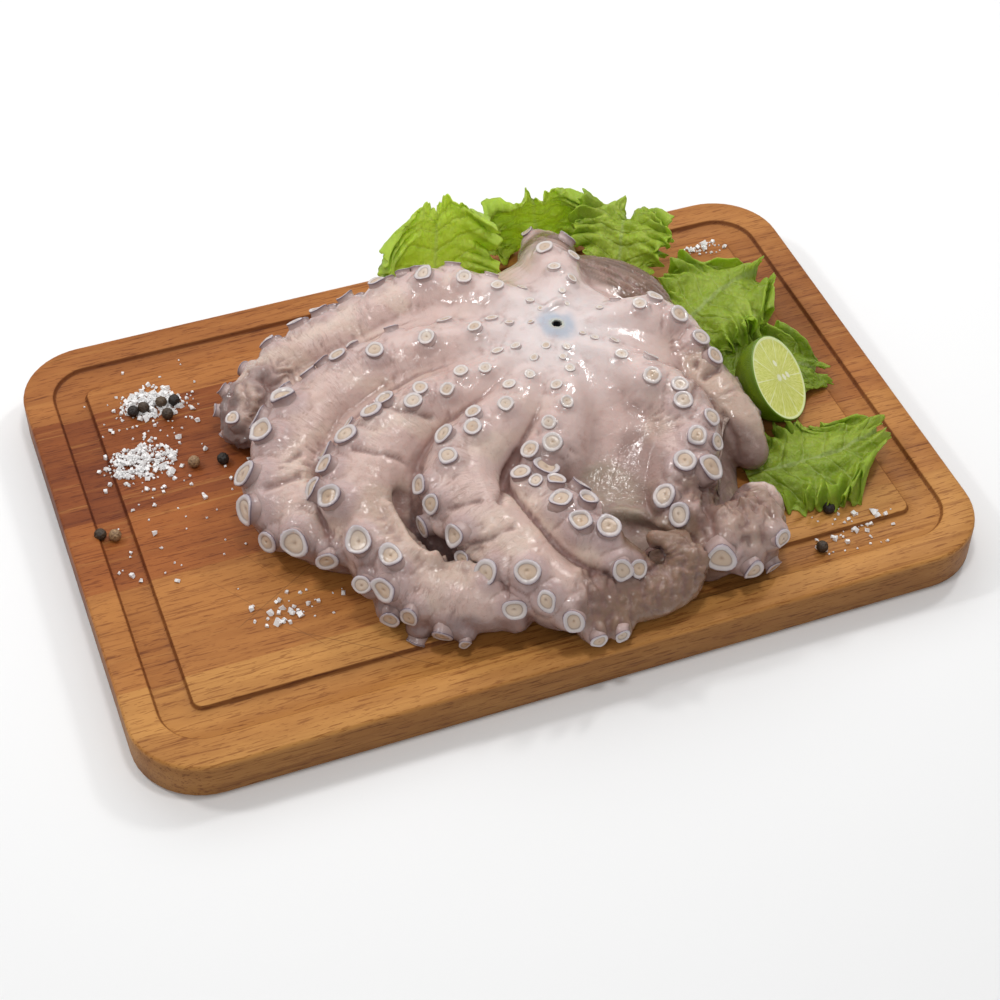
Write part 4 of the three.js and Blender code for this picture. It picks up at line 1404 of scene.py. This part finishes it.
def pepper_shape():
    shape = bmesh.new()
    tones = []
    for index, (x, y) in enumerate(PEPPERCORNS):
        made = bmesh.ops.create_icosphere(shape, subdivisions=4, radius=PEPPER_RADIUS)["verts"]
        for vertex in made:
            ridge = abs(noise.noise(vertex.co / 1.1 + Vector((index * 9, 0, 0))))
            vertex.co *= 1.03 - 0.3 * ridge
        height = surface_height(x, y) + PEPPER_RADIUS - PEPPER_SINK
        bmesh.ops.translate(shape, vec=(x, y, height), verts=made)
        tones.extend([1.0 if index in TAN_PEPPERCORNS else 0.12 * (index % 3)] * len(made))
    set_attribute(shape, "tone", tones)
    return shape


def salt_finish():
    finish = Finish("salt")
    cloud = finish.noise(finish.place(), 600, 3)
    colour = finish.ramp(cloud, ((0.3, (0.78, 0.76, 0.75)), (0.7, (0.90, 0.89, 0.88))))
    return finish.surface(
        Base_Color=colour,
        Roughness=0.35,
        Subsurface_Weight=0.5,
        Subsurface_Radius=(1, 1, 1),
        Subsurface_Scale=0.001,
    )


def pepper_finish():
    finish = Finish("peppercorn")
    place = finish.place()
    tone = finish.attribute("tone")
    rough = finish.noise(place, 900, 4)
    dark = finish.ramp(rough, ((0.3, (0.004, 0.003, 0.002)), (0.75, (0.035, 0.02, 0.012))))
    tan = finish.ramp(rough, ((0.3, (0.14, 0.07, 0.03)), (0.7, (0.42, 0.26, 0.13))))
    colour = finish.mix(tone, dark, tan)
    return finish.surface(Base_Color=colour, Roughness=0.55, Normal=finish.bump(rough, 0.0004, 0.7))


# ---------------------------------------------------------------- lettuce

LEAF = {"along": 130, "across": 100, "round tip": 0.28, "thickness": 0.6}
LIME = {"place": (156.5, -26.5, 25), "radius": 24.0, "facing": (0.59, -0.465, 0.66)}
# How the leaves are pressed down beside the lime: wholly so near it, not at all so far from it,
# this share of the way, so far under its cut face and never lower than so far over the board.
PRESS = {"near": 28, "far": 40, "share": 0.85, "under": 2, "over board": 3}
LOBES = 5
LOBE_DEPTH = 0.13
FRILL = 2.5
# How deep the edge is cut into bays, notches and teeth, how far it stands out between them, and
# the heights of its frills.
EDGE = {"bay": 14, "notch": 4, "tooth": 2.6, "out": 5, "frill": 7.5, "fine frill": 2.6}
# pale is how far a leaf takes the paler greens: partly the paler colour of the outer leaves and
# partly painted light that brightens the leaves at the back.
LEAVES = {
    "leaf_back_left": {
        "pale": 1.0, "width": 74, "ruffle": 5, "waves": 2.5, "phase": 0.6, "curl": -4,
        "across": (1, 0.05, 0),
        "spine": ((6, 99, 1), (11, 115, 20), (16, 127, 46), (19, 133, 64)),
    },
    "leaf_back": {
        "pale": 0.9, "width": 68, "ruffle": 5, "waves": 2.5, "phase": 2, "curl": 0,
        "across": (1, 0, 0),
        "spine": ((84, 146, 1), (83, 145, 17), (81, 143, 34), (79, 139, 48)),
    },
    "leaf_back_right": {
        "pale": 0.6, "width": 60, "ruffle": 6, "waves": 2, "phase": 1, "curl": -3,
        "across": (0.8, -0.6, 0),
        "spine": ((116, 98, 8), (122, 110, 24), (129, 122, 30), (138, 132, 24)),
    },
    "leaf_right_back": {
        "pale": 0.5, "width": 68, "ruffle": 7, "waves": 2.5, "phase": 0, "curl": -4,
        "across": (-0.35, 0.93, 0),
        "spine": ((125, 38, 10), (144, 47, 18), (169, 59, 20), (197, 69, 13)),
    },
    "leaf_right": {
        "pale": 0.25, "width": 62, "ruffle": 5, "waves": 2.5, "phase": 1.5, "curl": 2,
        "across": (0.2, 0.98, 0),
        "spine": ((130, 4, 3), (151, 5, 6), (177, -1, 7), (198, -14, 3)),
    },
    "leaf_front_right": {
        "pale": 0.38, "width": 64, "ruffle": 6, "waves": 2.5, "phase": 0.4, "curl": -3,
        "across": (0.1, 1, 0),
        "spine": ((119, -68, 3), (144, -73, 8), (172, -75, 12), (204, -67, 13)),
    },
}


def bays(place):
    """0 at the points of the leaf's edge, one for each step of place, and 1 in the bays between."""
    return (0.5 - 0.5 * math.cos(2 * math.pi * place)) ** 1.6


def edge_cut(along, rim, drift):
    """How far the leaf's edge is cut back."""
    cut = bays(LOBES * along + 0.5 + drift * 0.6) * EDGE["bay"]
    cut += bays(LOBES * 2.6 * along + 0.5) * EDGE["notch"] - EDGE["out"]
    cut += bays(LOBES * 6 * along + drift * 3) * EDGE["tooth"] * rim**6
    return cut * rim**3 * (0.8 + drift)


def leaf_point(leaf, along, aside, seed):
    """A point of the sheet, with the waves and lobes of the solid and finer frills on its edge."""
    rows = np.array(leaf["spine"], float)
    u = along * (1 - LEAF["round tip"] * aside * aside)
    across = Vector(leaf["across"]).normalized()
    start = Vector(on_curve(rows, u * 3))
    ahead = Vector(on_curve(rows, u * 3 + 0.02)) - Vector(on_curve(rows, u * 3 - 0.02))
    ahead.normalize()
    normal = ahead.cross(across).normalized()
    side = math.copysign(1, aside)
    rim = abs(aside)
    tip = u**7
    lobe = math.cos(2 * math.pi * LOBES * along)
    drift = noise.noise(Vector((along * 4, side * 3, seed))) * 0.35
    half = leaf["width"] / 2 * math.sin(math.pi * (0.16 + 0.77 * u)) ** 0.7
    half *= 1 + LOBE_DEPTH * lobe * aside * aside
    half -= edge_cut(along, rim, drift)
    edge = aside * aside * (0.25 + 0.75 * u)
    turned = leaf["phase"] + (0 if aside > 0 else 1.7)
    side_wave = edge * math.sin(2 * math.pi * leaf["waves"] * u + turned)
    tip_wave = 0.8 * u**4 * math.sin(math.pi * leaf["waves"] * aside + leaf["phase"])
    turn = 2 * math.pi * (LOBES * 1.6 * along + drift * 3) + seed + side
    fine = EDGE["fine frill"] * rim**4 * math.sin(2.3 * turn + 1)
    frill = FRILL * lobe * aside**4 + rim**3 * (EDGE["frill"] * math.sin(turn) + fine)
    frill += tip * (4.5 * math.sin(9 * aside + seed) + 2.0 * math.sin(21 * aside))
    blister = noise.noise(Vector((u * 7, aside * 4, seed + 3))) * 3.4 * (1 - tip)
    blister += noise.noise(Vector((u * 26, aside * 14, seed))) * 0.8
    lift = leaf["ruffle"] * (side_wave + tip_wave) + leaf["curl"] * aside * aside + frill + blister
    slide = 2.0 * rim**4 * math.cos(turn)
    slide -= u**5 * (12 * bays(aside + 0.5) + 3 * bays(4 * aside + 0.5) + 2 * bays(10 * aside) - 5)
    return start + across * (aside * half) + ahead * slide + normal * lift + UP * BOARD_TOP


def beside_lime(point):
    """Where a leaf's point lies once the leaf is pressed down behind the lime's cut face."""
    centre = Vector(LIME["place"]) + UP * BOARD_TOP
    facing = Vector(LIME["facing"]).normalized()
    out = point - centre
    face_height = centre.z - (out.x * facing.x + out.y * facing.y) / facing.z
    excess = point.z - max(face_height - PRESS["under"], BOARD_TOP + PRESS["over board"])
    if excess > 0:
        near = (PRESS["far"] - out.xy.length) / (PRESS["far"] - PRESS["near"])
        point = point - UP * excess * PRESS["share"] * min(1.0, max(0.0, near))
        out = point - centre
    clear = LIME["radius"] + 0.5
    return centre + out.normalized() * clear if out.length < clear else point


def leaf_shape(leaf, seed):
    shape = bmesh.new()
    bmesh.ops.create_grid(shape, x_segments=LEAF["along"], y_segments=LEAF["across"], size=1)
    sheet = [((vertex.co.x + 1) / 2, vertex.co.y) for vertex in shape.verts]
    for vertex, (along, aside) in zip(shape.verts, sheet):
        vertex.co = beside_lime(leaf_point(leaf, 0.01 + 0.98 * along, aside, seed))
        vertex.co.z = max(vertex.co.z, BOARD_TOP + GAP + 0.2)
    set_attribute(shape, "along", [along for along, _ in sheet])
    set_attribute(shape, "aside", [aside for _, aside in sheet])
    set_attribute(shape, "pale", [leaf["pale"]] * len(sheet))
    return shape


DEEP_GREENS = ((0.3, (0.12, 0.19, 0.005)), (0.5, (0.20, 0.29, 0.010)), (0.72, (0.34, 0.42, 0.03)))
PALE_GREENS = ((0.3, (0.46, 0.60, 0.035)), (0.5, (0.60, 0.74, 0.085)), (0.72, (0.74, 0.86, 0.18)))


def leaf_finish():
    finish = Finish("lettuce")
    place = finish.place()
    along, aside, pale = finish.attributes("along", "aside", "pale")
    rim = aside.size()
    broad = finish.noise(place, 40, 3)
    bend = finish.noise(place, 60, 2) * 0.5
    branch = ((along * 7 - rim**1.3 * 2.2 + bend) * math.pi).sine().size()
    veins = (1 - branch.within(0.0, 0.14)) * (1 - rim.within(0.5, 1.0))
    rib = 1 - rim.within(0.012, 0.05)
    small = 1 - finish.cells(place, 150, "DISTANCE_TO_EDGE").within(0.0, 0.06)
    lines = (veins * 0.8).or_more(rib).or_more(small * 0.35)
    green = finish.washed(
        finish.ramp(broad, DEEP_GREENS),
        # Partly the leaf's own paler green and partly painted light on the leaves at the back.
        (pale, finish.ramp(broad, PALE_GREENS)),
        (rim.within(0.55, 0.98) * 0.65, (0.50, 0.66, 0.08)),
        (lines * 0.6, (0.52, 0.60, 0.24)),
    )
    net = finish.cells(place, 420, "DISTANCE_TO_EDGE")
    normal = finish.bump(branch.within(0.0, 0.5), 0.0012, 0.6)
    normal = finish.bump(net.within(0.0, 0.12), 0.0004, 0.5, normal)
    normal = finish.bump(finish.noise(place, 330, 4), 0.0005, 0.4, normal)
    surface = finish.shader(
        Base_Color=green,
        Roughness=0.42,
        Specular_IOR_Level=0.45,
        Subsurface_Weight=0.2,
        Subsurface_Radius=(0.5, 1.0, 0.15),
        Subsurface_Scale=0.001,
        Normal=normal,
    )
    glow = finish.mix(pale, (0.40, 0.62, 0.02), (0.84, 1.0, 0.16))
    through = finish.add("ShaderNodeBsdfTranslucent", None, {"Color": glow, "Normal": normal})
    both = finish.add("ShaderNodeMixShader", None, {0: 0.45, 1: surface, 2: through.outputs[0]})
    return finish.ended(both.outputs[0])


def add_leaves():
    finish = leaf_finish()
    for seed, (node, leaf) in enumerate(LEAVES.items()):
        name = node.replace("leaf", "lettuce")
        shape = leaf_shape(leaf, seed * 11 + 5)
        piece = finish_piece(shape, name, finish, [node], outwards=False)
        thick = piece.modifiers.new("thickness", "SOLIDIFY")
        thick.thickness = LEAF["thickness"] * MM
        thick.offset = 0


# ---------------------------------------------------------------- lime

LIME_PROFILE = (
    (0.30, -0.96), (0.55, -0.84), (0.75, -0.66), (0.89, -0.455), (0.97, -0.24), (1.0, -0.03),
    (0.99, -0.004), (0.965, 0.0), (0.93, -0.006), (0.90, -0.016), (0.7, -0.012), (0.45, -0.01),
    (0.2, -0.012), (0.07, -0.006),
)
LIME_SIDES = 80
LIME_MIDDLE = -0.006
LIME_WEDGES = 10
LIME_SEEDS = ((0.22, 0.26), (0.17, -0.13), (0.33, -0.2))


def lime_shape():
    shape = bmesh.new()
    rings = [circle(radius, height, LIME_SIDES) for radius, height in LIME_PROFILE]
    loft(shape, rings, Vector((0, 0, -1)), Vector((0, 0, LIME_MIDDLE)))
    set_attribute(shape, "face x", [v.co.x for v in shape.verts])
    set_attribute(shape, "face y", [v.co.y for v in shape.verts])
    set_attribute(shape, "cut", [1.0 if v.co.z > -0.02 else 0.0 for v in shape.verts])
    x, y, z = LIME["place"]
    turn = Vector(LIME["facing"]).normalized().to_track_quat("Z", "Y").to_matrix().to_4x4()
    grow = Matrix.Scale(LIME["radius"], 4)
    place = Matrix.Translation((x, y, z + BOARD_TOP)) @ turn @ grow
    bmesh.ops.transform(shape, matrix=place, verts=shape.verts)
    return shape


def lime_finish():
    finish = Finish("lime")
    place = finish.place()
    x, y, cut = finish.attributes("face x", "face y", "cut")
    radius = (x**2 + y**2) ** 0.5
    turn = y.math("ARCTAN2", y, x)
    membrane = 1 - (turn * (LIME_WEDGES / 2)).sine().size().within(0.0, 0.16)
    sacs = finish.noise(finish.join(turn * 9, radius * 2.2), 3, 3, 0.6)
    juices = ((0.3, (0.52, 0.56, 0.07)), (0.55, (0.68, 0.70, 0.18)), (0.75, (0.82, 0.82, 0.36)))
    face = finish.mix(membrane * 0.8, finish.ramp(sacs, juices), (0.84, 0.87, 0.52))
    for seed_x, seed_y in LIME_SEEDS:
        seed = (((x - seed_x) * 1.6) ** 2 + (y - seed_y) ** 2) ** 0.5
        face = finish.mix((1 - seed.within(0.07, 0.10)) * 0.9, face, (0.86, 0.86, 0.66))
    core = 1 - radius.within(0.05, 0.11)
    pith = radius.within(0.90, 0.925)
    outer_skin = radius.within(0.96, 0.98)
    face = finish.washed(
        face,
        (core, (0.84, 0.85, 0.60)),
        (pith, (0.74, 0.80, 0.40)),
        (outer_skin, (0.12, 0.22, 0.005)),
    )
    oil = finish.cells(place, 900)
    greens = ((0.3, (0.17, 0.25, 0.001)), (0.7, (0.36, 0.46, 0.002)))
    rind = finish.ramp(finish.noise(place, 60, 3), greens)
    rind = finish.mix(oil.within(0.0, 0.3) * 0.25, (0.05, 0.10, 0.001), rind)
    relief = (1 - cut) * oil.within(0.0, 0.5) + cut * sacs
    return finish.surface(
        Base_Color=finish.mix(cut, rind, face),
        Roughness=0.4 - cut * 0.15,
        Specular_IOR_Level=0.3,
        Subsurface_Weight=0.25,
        Subsurface_Radius=(0.8, 1.0, 0.3),
        Subsurface_Scale=0.0015,
        Normal=finish.bump(relief, 0.0005, 0.5),
    )


# ---------------------------------------------------------------- studio


LIGHTS_AIM = Vector((0.02, -0.02, 0.03))
# Place, size and power of each light, in metres and watts.
LIGHTS = {
    "back light": ((0.10, 0.95, 1.05), (1.7, 1.0), 6.5),
    "top light": ((0.0, -0.12, 1.25), (0.16, 0.12), 3.4),
    "right light": ((0.75, 0.40, 1.0), (0.12, 0.20), 3.7),
    "left light": ((-0.75, 0.45, 0.95), (0.16, 0.12), 3.6),
    "front light": ((-0.45, -0.9, 1.2), (0.12, 0.09), 1.9),
}
WORLD_LIGHT = 0.40


def add_light(name, place, size, power):
    data = bpy.data.lights.new(name, "AREA")
    data.shape = "RECTANGLE"
    data.size, data.size_y = size
    data.energy = power
    light = bpy.data.objects.new(name, data)
    light.location = place
    towards = LIGHTS_AIM - Vector(place)
    light.rotation_euler = towards.to_track_quat("-Z", "Y").to_euler()
    bpy.context.collection.objects.link(light)


def add_studio():
    shape = bmesh.new()
    bmesh.ops.create_grid(shape, x_segments=1, y_segments=1, size=6)
    floor = mesh_object(shape, "floor")
    finish = Finish("pale floor")
    floor.data.materials.append(finish.surface(Base_Color=(0.86, 0.86, 0.86), Roughness=0.9))
    for name, settings in LIGHTS.items():
        add_light(name, *settings)
    world = bpy.data.worlds.new("studio")
    world.use_nodes = True
    background = world.node_tree.nodes["Background"]
    background.inputs["Color"].default_value = (1, 1, 1, 1)
    background.inputs["Strength"].default_value = WORLD_LIGHT
    bpy.context.scene.world = world
    bpy.context.scene.view_settings.view_transform = "Standard"


# ---------------------------------------------------------------- the whole

add_camera()
add_octopus()
finish_piece(board_shape(), "board_wood", wood_finish(), ["board"])
finish_piece(salt_shape(), "salt_flakes", salt_finish(), (), smooth=False)
finish_piece(pepper_shape(), "peppercorns", pepper_finish(), ())
add_leaves()
finish_piece(lime_shape(), "lime_cut", lime_finish(), ["lime_half"])
add_studio()
